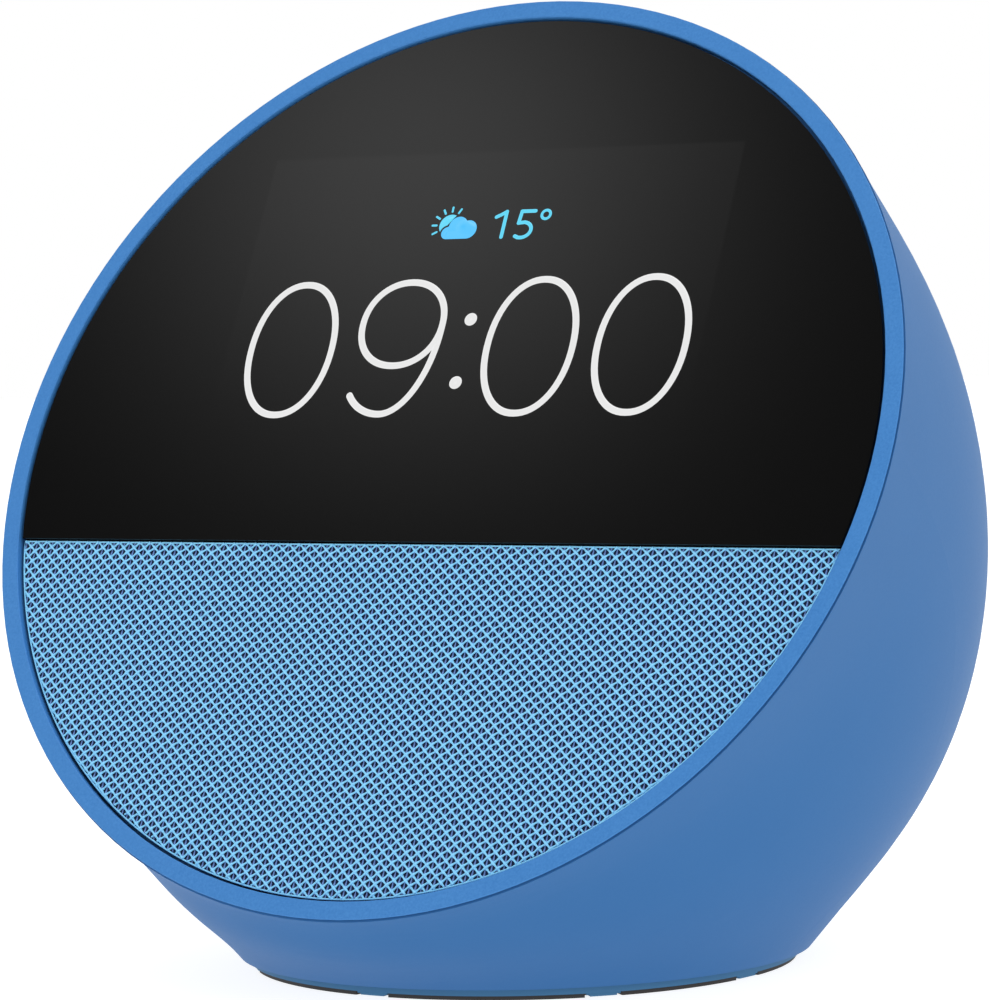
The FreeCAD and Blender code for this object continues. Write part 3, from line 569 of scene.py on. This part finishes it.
def mark_mesh(marks: list[Stroke | Patch], scale: float, height: float) -> bpy.types.Mesh:
    """One mesh of several strokes and patches.

    Args:
        marks: the strokes and patches, in their own units.
        scale: metres in one of those units.
        height: how far they stand out, in metres.

    Returns:
        The mesh, in its plane at z = 0.
    """
    form = bmesh.new()
    for mark in marks:
        mark.add_to(form, height / scale)
    bmesh.ops.scale(form, vec=(scale, scale, scale), verts=form.verts)
    bmesh.ops.recalc_face_normals(form, faces=form.faces)
    mesh = finished_mesh(form, "mark")
    for polygon in mesh.polygons:
        polygon.use_smooth = True
    return mesh


# ---- the fabric ----

@dataclass(frozen=True)
class Weave:
    """The fabric's repeat: a lattice of light yarns crossing over darker upright ones."""

    repeat_across: float = 1.443 * MM
    repeat_up: float = 1.233 * MM
    yarn_radius: float = 0.1 * MM
    knot: float = 0.75
    upright_radius: float = 0.1 * MM
    upright_shift: float = -0.05 * MM
    upright_taper: float = 0.3
    lift: float = 0.07 * MM
    unevenness: float = 0.09 * MM
    uneven_length: float = 1.9 * MM
    lattice_steps: int = 4
    lattice_sides: int = 6
    upright_steps: int = 6
    upright_sides: int = 4

    def half(self) -> Vector:
        """From one crossing to the next one up and to the right."""
        return Vector((self.repeat_across / 2, self.repeat_up / 2))


@dataclass
class SpeakerCloth:
    """The stretched fabric below the screen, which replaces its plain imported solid."""

    plane: PlaneFrame
    weave: Weave
    radius: float = 53.85 * MM
    edge: float = -12.2 * MM
    ground_front: float = -1.0 * MM
    ground_back: float = -1.16 * MM
    lattice_height: float = -0.8 * MM
    upright_height: float = -0.86 * MM
    hem_width: float = 0.2 * MM
    hem_inset: float = 0.12 * MM
    rim_steps: int = 120
    # a wave so long, in metres, that it doesn't show on the fabric
    no_wave: float = 1.0

    def outline(self, inset: float = 0.0) -> list[Point]:
        """The outline's points, round the arc from its right end to its left.

        Args:
            inset: how far inside the outline the points lie.

        Returns:
            The points in the face's plane.
        """
        radius = self.radius - inset
        low = math.asin((self.edge - inset) / radius)
        points = []
        for step in range(self.rim_steps + 1):
            angle = low - (math.pi + 2 * low) * step / self.rim_steps
            points.append((radius * math.cos(angle), radius * math.sin(angle)))
        return points

    def hem(self) -> bpy.types.Object:
        """The thread that closes the cut ends of the yarns, all round the outline."""
        half = self.hem_width / 2
        thread = Stroke(self.outline(self.hem_inset), self.hem_width, closed=True)
        place = self.plane.matrix() @ Matrix.Translation((0, 0, self.lattice_height))
        piece = new_object("cloth_hem", mark_mesh([thread], 1.0, half), place)
        dress(piece, YARN_LIGHT.build())
        return piece

    def ground(self) -> bpy.types.Object:
        """The closely woven navy ground that the yarns lie on."""
        form = bmesh.new()
        Patch(self.outline()).add_to(form, (self.ground_front - self.ground_back) / 2)
        bmesh.ops.recalc_face_normals(form, faces=form.faces)
        middle = Matrix.Translation((0, 0, (self.ground_front + self.ground_back) / 2))
        piece = new_object("cloth_ground", finished_mesh(form, "cloth_ground"),
                           self.plane.matrix() @ middle)
        dress(piece, CLOTH_NAVY.build())
        return piece

    def yarn_tree(self) -> bpy.types.NodeTree:
        """The node tree that lays one family of parallel yarns over the outline.

        Returns:
            A tree whose inputs are the family's direction, spacing, waves and thickness.
        """
        tree = bpy.data.node_groups.new("parallel_yarns", "GeometryNodeTree")
        kinds = {"Vector": ("Start", "Shift", "Along"), "Int": ("Count", "Points", "Sides"),
                 "Float": ("Radius", "Taper", "Knot", "Height", "Lift", "Across wave", "Up wave",
                           "Uneven", "Uneven scale", "Outline radius", "Outline edge"),
                 "Material": ("Yarn",)}
        for kind, names in kinds.items():
            for name in names:
                tree.interface.new_socket(name, in_out="INPUT", socket_type="NodeSocket" + kind)
        tree.interface.new_socket("Mesh", in_out="OUTPUT", socket_type="NodeSocketGeometry")
        given = tree.nodes.new("NodeGroupInput").outputs
        rows = add_node(tree, "GeometryNodeMeshLine", {
            "Count": given["Count"], "Start Location": given["Start"],
            "Offset": given["Shift"]})
        strand = add_node(tree, "GeometryNodeMeshLine", {
            "Count": given["Points"], "Start Location": (0, 0, 0), "Offset": given["Along"]})
        thread = add_node(tree, "GeometryNodeMeshToCurve", {0: strand.outputs[0]})
        placed = add_node(tree, "GeometryNodeInstanceOnPoints", {
            "Points": rows.outputs[0], "Instance": thread.outputs[0]})
        real = add_node(tree, "GeometryNodeRealizeInstances", {0: placed.outputs[0]})

        where = add_node(tree, "GeometryNodeInputPosition").outputs[0]
        axes = add_node(tree, "ShaderNodeSeparateXYZ", {0: where}).outputs
        reach = add_node(tree, "ShaderNodeVectorMath", {0: where}, operation="LENGTH")
        beyond = add_node(tree, "FunctionNodeCompare", {
            0: reach.outputs["Value"], 1: given["Outline radius"]}, operation="GREATER_THAN")
        above = add_node(tree, "FunctionNodeCompare", {
            0: axes[1], 1: given["Outline edge"]}, operation="GREATER_THAN")
        outside = add_node(tree, "FunctionNodeBooleanMath", {
            0: beyond.outputs[0], 1: above.outputs[0]}, operation="OR")
        trimmed = add_node(tree, "GeometryNodeDeleteGeometry", {
            "Geometry": real.outputs[0], "Selection": outside.outputs[0]})

        turns = []
        for axis, wave in ((axes[0], given["Across wave"]), (axes[1], given["Up wave"])):
            share = add_node(tree, "ShaderNodeMath", {0: axis, 1: wave}, operation="DIVIDE")
            turns.append(add_node(tree, "ShaderNodeMath", {
                0: share.outputs[0], 1: 2 * math.pi}, operation="MULTIPLY").outputs[0])
        phase = add_node(tree, "ShaderNodeMath", {0: turns[0], 1: turns[1]}, operation="ADD")
        swing = add_node(tree, "ShaderNodeMath", {0: phase.outputs[0]}, operation="COSINE")
        height = add_node(tree, "ShaderNodeMath", {
            0: swing.outputs[0], 1: given["Lift"], 2: given["Height"]}, operation="MULTIPLY_ADD")
        wobble = add_node(tree, "ShaderNodeTexNoise", {
            "Vector": where, "Scale": given["Uneven scale"], "Detail": 1.0})
        centred = add_node(tree, "ShaderNodeVectorMath", {
            0: wobble.outputs["Color"], 1: (0.5, 0.5, 0.5)}, operation="SUBTRACT")
        drift = add_node(tree, "ShaderNodeVectorMath", {
            0: centred.outputs[0], "Scale": given["Uneven"]}, operation="SCALE")
        raised = add_node(tree, "ShaderNodeCombineXYZ", {2: height.outputs[0]})
        offset = add_node(tree, "ShaderNodeVectorMath", {
            0: raised.outputs[0], 1: drift.outputs[0]}, operation="ADD")
        waved = add_node(tree, "GeometryNodeSetPosition", {
            "Geometry": trimmed.outputs[0], "Offset": offset.outputs[0]})

        # a yarn is thicker at its crossings, and its taper swells it a quarter of a wave off them
        crossing = add_node(tree, "ShaderNodeMath", {0: swing.outputs[0], 1: 2.0}, operation="POWER")
        knotted = add_node(tree, "ShaderNodeMath", {
            0: crossing.outputs[0], 1: given["Knot"], 2: 1.0}, operation="MULTIPLY_ADD")
        late = add_node(tree, "ShaderNodeMath", {0: phase.outputs[0]}, operation="SINE")
        girth = add_node(tree, "ShaderNodeMath", {
            0: late.outputs[0], 1: given["Taper"], 2: knotted.outputs[0]}, operation="MULTIPLY_ADD")
        profile = add_node(tree, "GeometryNodeCurvePrimitiveCircle", {
            "Resolution": given["Sides"], "Radius": given["Radius"]})
        swept = add_node(tree, "GeometryNodeCurveToMesh", {
            "Curve": waved.outputs[0], "Profile Curve": profile.outputs[0],
            "Scale": girth.outputs[0], "Fill Caps": True})
        smooth = add_node(tree, "GeometryNodeSetShadeSmooth", {0: swept.outputs[0]})
        whole = add_node(tree, "GeometryNodeRealizeInstances", {0: smooth.outputs[0]})
        dyed = add_node(tree, "GeometryNodeSetMaterial", {
            "Geometry": whole.outputs[0], "Material": given["Yarn"]})
        tree.links.new(dyed.outputs[0], tree.nodes.new("NodeGroupOutput").inputs[0])
        return tree

    def yarns(self, name: str, tree: bpy.types.NodeTree, values: Inputs) -> bpy.types.Object:
        """Run the yarn tree once and keep its result as a plain piece.

        Args:
            name: the piece's name.
            tree: the yarn tree.
            values: the tree's inputs by name.

        Returns:
            The finished piece.
        """
        carrier = new_object(name + "_maker", bpy.data.meshes.new(name + "_maker"))
        modifier = carrier.modifiers.new("yarns", "NODES")
        modifier.node_group = tree
        identifiers = {item.name: item.identifier for item in tree.interface.items_tree
                       if item.in_out == "INPUT"}
        values = values | {"Outline radius": self.radius - self.hem_inset,
                           "Outline edge": self.edge - self.hem_inset,
                           "Uneven": self.weave.unevenness,
                           "Uneven scale": 1 / self.weave.uneven_length}
        for key, value in values.items():
            modifier[identifiers[key]] = value
        evaluated = carrier.evaluated_get(bpy.context.evaluated_depsgraph_get())
        mesh = bpy.data.meshes.new_from_object(evaluated)
        bpy.data.objects.remove(carrier)
        return new_object(name, mesh, self.plane.matrix())

    def lattice(self, tree: bpy.types.NodeTree, rising: bool) -> bpy.types.Object:
        """One diagonal family of light yarns, over and under the other family.

        Args:
            tree: the yarn tree.
            rising: whether the yarns rise to the right.

        Returns:
            The finished piece.
        """
        weave = self.weave
        half = weave.half()
        side = 1 if rising else -1
        along = Vector((half.x, side * half.y, 0))
        shift = Vector((half.x, -side * half.y, 0))
        reach = 2 * math.ceil(self.radius / min(half.x, half.y) / 2)
        steps = weave.lattice_steps
        return self.yarns("cloth_rising_yarns" if rising else "cloth_falling_yarns", tree, {
            "Start": -(along + shift) * reach, "Shift": shift, "Along": along / steps,
            "Count": 2 * reach + 1, "Points": 2 * reach * steps + 1,
            "Radius": weave.yarn_radius, "Taper": 0.0, "Knot": weave.knot,
            "Height": self.lattice_height, "Lift": weave.lift * side,
            "Across wave": weave.repeat_across, "Up wave": self.no_wave,
            "Sides": weave.lattice_sides, "Yarn": YARN_LIGHT.build()})

    def uprights(self, tree: bpy.types.NodeTree) -> bpy.types.Object:
        """The darker upright yarns that show through the lattice's holes."""
        weave = self.weave
        steps = weave.upright_steps
        rows = math.ceil(self.radius / (weave.repeat_across / 2))
        repeats = math.ceil(self.radius / weave.repeat_up)
        return self.yarns("cloth_upright_yarns", tree, {
            "Start": Vector((weave.upright_shift - rows * weave.repeat_across / 2,
                             -repeats * weave.repeat_up, 0)),
            "Shift": Vector((weave.repeat_across / 2, 0, 0)),
            "Along": Vector((0, weave.repeat_up / steps, 0)),
            "Count": 2 * rows + 1, "Points": repeats * steps + 1,
            "Radius": weave.upright_radius, "Taper": weave.upright_taper, "Knot": 0.0,
            "Height": self.upright_height, "Lift": weave.lift / 2,
            "Across wave": weave.repeat_across, "Up wave": weave.repeat_up,
            "Sides": weave.upright_sides, "Yarn": YARN_MIDDLE.build()})

    def build(self) -> None:
        ground = self.ground()
        tree = self.yarn_tree()
        yarns = [self.lattice(tree, rising=True), self.lattice(tree, rising=False),
                 self.uprights(tree), self.hem()]
        for piece in [ground, *yarns]:
            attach(piece, "display")
            LOG.info("%s: %d faces", piece.name, len(piece.data.polygons))
        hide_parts("speaker_fabric")


# ---- the screen ----

@dataclass
class ClockFace:
    """The picture on the screen: the time, and the weather above it."""

    plane: PlaneFrame
    glass_front: float = -0.34 * MM
    proud: float = 0.02 * MM
    digit_stroke: float = 0.9
    digit_half_width: float = 5.47
    digit_half_height: float = 8.3
    digit_middle_y: float = 11.85
    digit_steps: int = 72
    zero_middles: tuple[float, ...] = (-22.0, 9.42, 23.47)
    zero_squareness: float = 2.12
    nine_middle: float = -7.85
    nine_bowl: float = 5.27
    nine_squareness: float = 2.1
    colon_x: float = 0.98
    colon_heights: tuple[float, float] = (7.4, 15.3)
    colon_dot: float = 0.4
    small_steps: int = 24
    small_stroke: float = 0.5
    degree_radius: float = 0.55
    degree_stroke: float = 0.38
    sun_middle: Point = (-4.83, 27.4)
    sun_radius: float = 1.36
    ray_angles: tuple[float, ...] = (62, 92, 121, 150, 179, 208)
    ray_reaches: tuple[float, ...] = (1.76, 2.0, 2.29)
    ray_stroke: float = 0.28
    cloud_gap: float = 0.25
    cloud_lobes: tuple[tuple[Point, float], ...] = (
        ((-4.92, 26.4), 0.78), ((-3.68, 27.24), 1.22), ((-2.33, 26.79), 1.17))

    def digits(self) -> list[Stroke]:
        """The digits and the colon of nine o'clock."""
        strokes = []
        for middle in self.zero_middles:
            zero = oval((middle, self.digit_middle_y), self.digit_half_width,
                        self.digit_half_height, self.digit_steps, self.zero_squareness)
            strokes.append(Stroke(zero, self.digit_stroke, closed=True))
        top = self.digit_middle_y + self.digit_half_height
        bowl = self.nine_bowl
        ring = oval((self.nine_middle, top - bowl), bowl, bowl, self.digit_steps,
                    self.nine_squareness)
        strokes.append(Stroke(ring, self.digit_stroke, closed=True))
        low = self.digit_middle_y - self.digit_half_height
        side = self.nine_middle + bowl
        foot = self.nine_middle - 0.3
        knee = top - bowl - 0.7
        tail = arc((foot, knee), side - foot, knee - low, 0, -90, 28)
        tail += arc((foot, low + 5.3), 5.3, 5.3, -90, -146, 16)[1:]
        strokes.append(Stroke([(side, top - bowl), *tail], self.digit_stroke))
        dot = self.colon_dot
        for height in self.colon_heights:
            # the stroke is a little wider than twice the radius, so it fills the dot
            strokes.append(Stroke(oval((self.colon_x, height), dot, dot, self.small_steps),
                                  2 * dot + 0.05, closed=True))
        return strokes

    def temperature(self) -> list[Stroke]:
        """A mild temperature in degrees."""
        one = [(1.12, 28.28), (1.7, 28.55), (2.33, 28.92)]
        stem = [(2.33, 28.92), (2.33, 27.2), (2.33, 25.7)]
        five_top = [(6.05, 28.9), (5.2, 28.9), (4.32, 28.9)]
        five_side = [(4.32, 28.9), (4.26, 28.2), (4.2, 27.42)]
        five_bowl = [(4.2, 27.42)]
        five_bowl += arc((4.82, 26.52), 1.18, 0.98, 82, -90, 20)
        five_bowl += [(4.5, 25.56), (4.1, 25.75)]
        degree = oval((7.53, 28.4), self.degree_radius, self.degree_radius, self.small_steps)
        lines = [Stroke(points, self.small_stroke)
                 for points in (one, stem, five_top, five_side, five_bowl)]
        return lines + [Stroke(degree, self.degree_stroke, closed=True)]

    def sun(self) -> list[Stroke | Patch]:
        """The sun's rays and the part of its disc that the cloud leaves in sight."""
        middle = self.sun_middle
        marks = []
        for angle in self.ray_angles:
            c, s = math.cos(math.radians(angle)), math.sin(math.radians(angle))
            ray = [(middle[0] + reach * c, middle[1] + reach * s) for reach in self.ray_reaches]
            marks.append(Stroke(ray, self.ray_stroke))
        # a thin dark line parts the disc from the cloud's two nearer lobes
        gap = self.cloud_gap
        left, crown, _ = self.cloud_lobes
        rim = arc(middle, self.sun_radius, self.sun_radius, 62.9, 216, 40)
        rim += arc(left[0], left[1] + gap, left[1] + gap, 168.8, 102.4, 12)
        rim += arc(crown[0], crown[1] + gap, crown[1] + gap, 173.5, 111.2, 16)[1:-1]
        return marks + [Patch(rim)]

    def cloud(self) -> list[Patch]:
        """The cloud: three round lobes on a flat bottom."""
        left, crown, right = self.cloud_lobes
        rim = arc(left[0], left[1], left[1], 270, 88.4, 24)
        rim += arc(crown[0], crown[1], crown[1], 182.9, 33.5, 28)
        rim += arc(right[0], right[1], right[1], 106.5, -90, 28)
        return [Patch(rim)]

    def build(self) -> None:
        """Make the lit pieces, just proud of the glass."""
        white, cyan, sky = SCREEN_WHITE.build(), SCREEN_CYAN.build(), SCREEN_SKY_BLUE.build()
        place = self.plane.matrix() @ Matrix.Translation((0, 0, self.glass_front))
        for name, marks, material in (
                ("clock_digits", self.digits(), white),
                ("temperature_digits", self.temperature(), cyan),
                ("weather_sun", self.sun(), cyan), ("weather_cloud", self.cloud(), sky)):
            piece = new_object(name, mark_mesh(marks, MM, self.proud), place)
            dress(piece, material)
            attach(piece, "display")
            LOG.info("%s: %d faces", name, len(piece.data.polygons))


# ---- the buttons ----

@dataclass
class ButtonMarks:
    """The raised marks on the three buttons: less, more and microphone off."""

    nodes: dict[str, bpy.types.Object]
    out: Vector
    stroke: float = 0.5
    thin_stroke: float = 0.28
    capsule_width: float = 0.95
    reach: float = 1.35
    proud: float = 0.12 * MM

    def less(self) -> list[Stroke]:
        """A bar."""
        return [Stroke([(-self.reach, 0), (0, 0), (self.reach, 0)], self.stroke)]

    def more(self) -> list[Stroke]:
        """A cross."""
        return self.less() + [Stroke([(0, -self.reach), (0, 0), (0, self.reach)], self.stroke)]

    def microphone_off(self) -> list[Stroke]:
        """A microphone in its cradle, struck through."""
        capsule = [(0, 1.5), (0, 0.9), (0, 0.45)]
        cradle = arc((0, 0.5), 1.15, 1.15, 180, 360, 18)
        stem = [(0, -0.65), (0, -1.0), (0, -1.4)]
        foot = [(-0.7, -1.5), (0, -1.5), (0.7, -1.5)]
        strike = [(-1.7, -1.6), (0, 0.1), (1.7, 1.8)]
        thin = [Stroke(points, self.thin_stroke) for points in (cradle, stem, foot, strike)]
        return [Stroke(capsule, self.capsule_width), *thin]

    def laid_on(self, cap: bpy.types.Object, strokes: list[Stroke]) -> bpy.types.Mesh:
        """Lay a flat mark down on a domed cap.

        Args:
            cap: the button's cap.
            strokes: the mark's strokes, in millimetres about the cap's middle.

        Returns:
            The mark's mesh, each corner as far off the cap as it stood off its plane.
        """
        plane = PlaneFrame.on_top_of(cap, self.out)
        place = plane.matrix()
        dome = BVHTree.FromPolygons([corner.co for corner in cap.data.vertices],
                                    [polygon.vertices for polygon in cap.data.polygons])
        mesh = mark_mesh(strokes, MM, self.proud)
        for corner in mesh.vertices:
            above = place @ Vector((corner.co.x, corner.co.y, MM))
            foot = dome.ray_cast(above, -plane.out)[0]
            corner.co = foot + plane.out * corner.co.z
        return mesh

    def build(self) -> None:
        """Raise each mark on its own button's top."""
        marks = {"volume_down": self.less(), "volume_up": self.more(),
                 "mic_mute": self.microphone_off()}
        for body, strokes in marks.items():
            mesh = self.laid_on(self.nodes[body + "_button"], strokes)
            piece = new_object(body + "_mark", mesh)
            dress(piece, MARK_BLUE.build())
            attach(piece, body)
            LOG.info("%s_mark: %d faces", body, len(piece.data.polygons))


# ---- the room ----

@dataclass(frozen=True)
class SoftLight:
    """A square soft light that looks at the display."""

    name: str
    spot: tuple[float, float, float]
    side: float
    watts: float
    aim: tuple[float, float, float] = (0, 0, 0.05)

    def build(self) -> None:
        """Add the light."""
        data = bpy.data.lights.new(self.name, "AREA")
        data.size = self.side
        data.energy = self.watts
        lamp = bpy.data.objects.new(self.name, data)
        bpy.context.scene.collection.objects.link(lamp)
        lamp.location = self.spot
        way = Vector(self.aim) - Vector(self.spot)
        lamp.rotation_euler = way.to_track_quat("-Z", "Y").to_euler()


@dataclass(frozen=True)
class Studio:
    """A pale floor, a bright soft room and the lamp that the glass reflects."""

    floor_reach: float = 3.0
    floor_sides: int = 96
    floor_colour: str = "#A6A6A6"
    floor_drift: str = "#A2A2A2"
    floor_clouds: float = 3.0
    floor_roughness: float = 0.9
    floor_glow: float = 0.85
    room: float = 1.0
    lamp: float = 0.95
    lamp_direction: tuple[float, float, float] = (-0.515, -0.455, 0.725)
    lamp_spread: float = 0.062
    flagged_room: float = 0.03
    flag_spread: float = 0.3
    flag_edge: tuple[float, float] = (0.25, 0.75)
    lights: tuple[SoftLight, ...] = (SoftLight("overhead", (0.2, 0.3, 1.4), side=1.2, watts=6.0),
                                     SoftLight("side", (1.2, -0.5, 0.7), side=0.9, watts=1.0))

    def floor(self) -> None:
        """A wide pale matt table top, which glows so that it stays near white."""
        form = bmesh.new()
        bmesh.ops.create_circle(form, cap_ends=True, segments=self.floor_sides,
                                radius=self.floor_reach)
        floor = new_object("floor", finished_mesh(form, "floor"))
        material, tree, shader = new_material("pale_matt_top")
        where = add_node(tree, "ShaderNodeTexCoord").outputs["Object"]
        cloud = add_node(tree, "ShaderNodeTexNoise", {"Vector": where, "Scale": self.floor_clouds})
        mixed = {0: cloud.outputs["Fac"], 6: linear(self.floor_colour), 7: linear(self.floor_drift)}
        colour = add_node(tree, "ShaderNodeMix", mixed, data_type="RGBA").outputs[2]
        feed(tree, shader, {"Base Color": colour, "Roughness": self.floor_roughness,
                            "Specular IOR Level": 0.0, "Emission Color": (1, 1, 1, 1),
                            "Emission Strength": self.floor_glow})
        dress(floor, material)

    def world(self) -> None:
        """A white room with a dark flag round one soft lamp, up and to the front left."""
        world = bpy.data.worlds.new("studio")
        bpy.context.scene.world = world
        world.use_nodes = True
        tree = world.node_tree
        way = add_node(tree, "ShaderNodeTexCoord").outputs["Generated"]
        lamp = Vector(self.lamp_direction).normalized()
        off = add_node(tree, "ShaderNodeVectorMath", {0: way, 1: lamp}, operation="DISTANCE")
        falls = []
        for spread in (self.lamp_spread, self.flag_spread):
            share = add_node(tree, "ShaderNodeMath", {
                0: off.outputs["Value"], 1: spread}, operation="DIVIDE")
            squared = add_node(tree, "ShaderNodeMath", {0: share.outputs[0], 1: 2.0}, operation="POWER")
            minus = add_node(tree, "ShaderNodeMath", {0: squared.outputs[0], 1: -1.0},
                             operation="MULTIPLY")
            falls.append(add_node(tree, "ShaderNodeMath", {0: minus.outputs[0]},
                                  operation="EXPONENT").outputs[0])
        low, high = self.flag_edge
        unflagged = add_node(tree, "ShaderNodeMapRange", {
            "Value": falls[1], "From Min": low, "From Max": high, "To Min": self.room,
            "To Max": self.flagged_room})
        total = add_node(tree, "ShaderNodeMath", {
            0: falls[0], 1: self.lamp, 2: unflagged.outputs[0]}, operation="MULTIPLY_ADD")
        feed(tree, tree.nodes["Background"], {
            "Color": (1, 1, 1, 1), "Strength": total.outputs[0]})

    def build(self) -> None:
        """Set the room up."""
        self.floor()
        self.world()
        for light in self.lights:
            light.build()


@dataclass(frozen=True)
class Viewpoint:
    """Where the display is seen from: low, to its own left and half a metre off."""

    spot: tuple[float, float, float] = (0.2519, -0.4444, 0.0765)
    yaw: float = 30.2
    pitch: float = -2.7
    roll: float = -1.34
    lens_mm: float = 158.8
    sensor_mm: float = 36.0
    near: float = 0.01

    def build(self) -> None:
        """Add the camera and make it the scene's own."""
        data = bpy.data.cameras.new("camera")
        data.lens = self.lens_mm
        data.sensor_fit = "AUTO"
        data.sensor_width = self.sensor_mm
        data.clip_start = self.near
        camera = bpy.data.objects.new("camera", data)
        bpy.context.scene.collection.objects.link(camera)
        turn = Matrix.Rotation(math.radians(self.yaw), 4, "Z")
        tip = Matrix.Rotation(math.radians(90 + self.pitch), 4, "X")
        lean = Matrix.Rotation(math.radians(self.roll), 4, "Z")
        camera.matrix_world = Matrix.Translation(self.spot) @ turn @ tip @ lean
        bpy.context.scene.camera = camera


def dress_nodes(nodes: dict[str, bpy.types.Object], glass: PrintedGlass) -> None:
    """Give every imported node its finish.

    Args:
        nodes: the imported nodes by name.
        glass: the finish of the cover glass.
    """
    for name, finish in NODE_FINISHES.items():
        dress(nodes[name], finish.build())
    dress(nodes["cover_glass"], glass.build())
    LOG.info("finished %d packed nodes", len(NODE_FINISHES) + 1)


def main() -> None:
    """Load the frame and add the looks."""
    logging.basicConfig(level=logging.INFO, format="%(name)s: %(message)s")
    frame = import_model()
    nodes = frame["nodes"]
    axes = {joint["name"]: Vector(joint["axis"]) for joint in frame["joints"]}
    face = PlaneFrame.on_top_of(nodes["front_bezel"], axes["diaphragm_stroke"])
    dress_nodes(nodes, PrintedGlass(face))
    SpeakerCloth(face, Weave()).build()
    ClockFace(face).build()
    ButtonMarks(nodes, -axes["volume_up_press"]).build()
    Studio().build()
    Viewpoint().build()
    bpy.context.scene.view_settings.view_transform = "Standard"


if __name__ == "__main__":
    main()
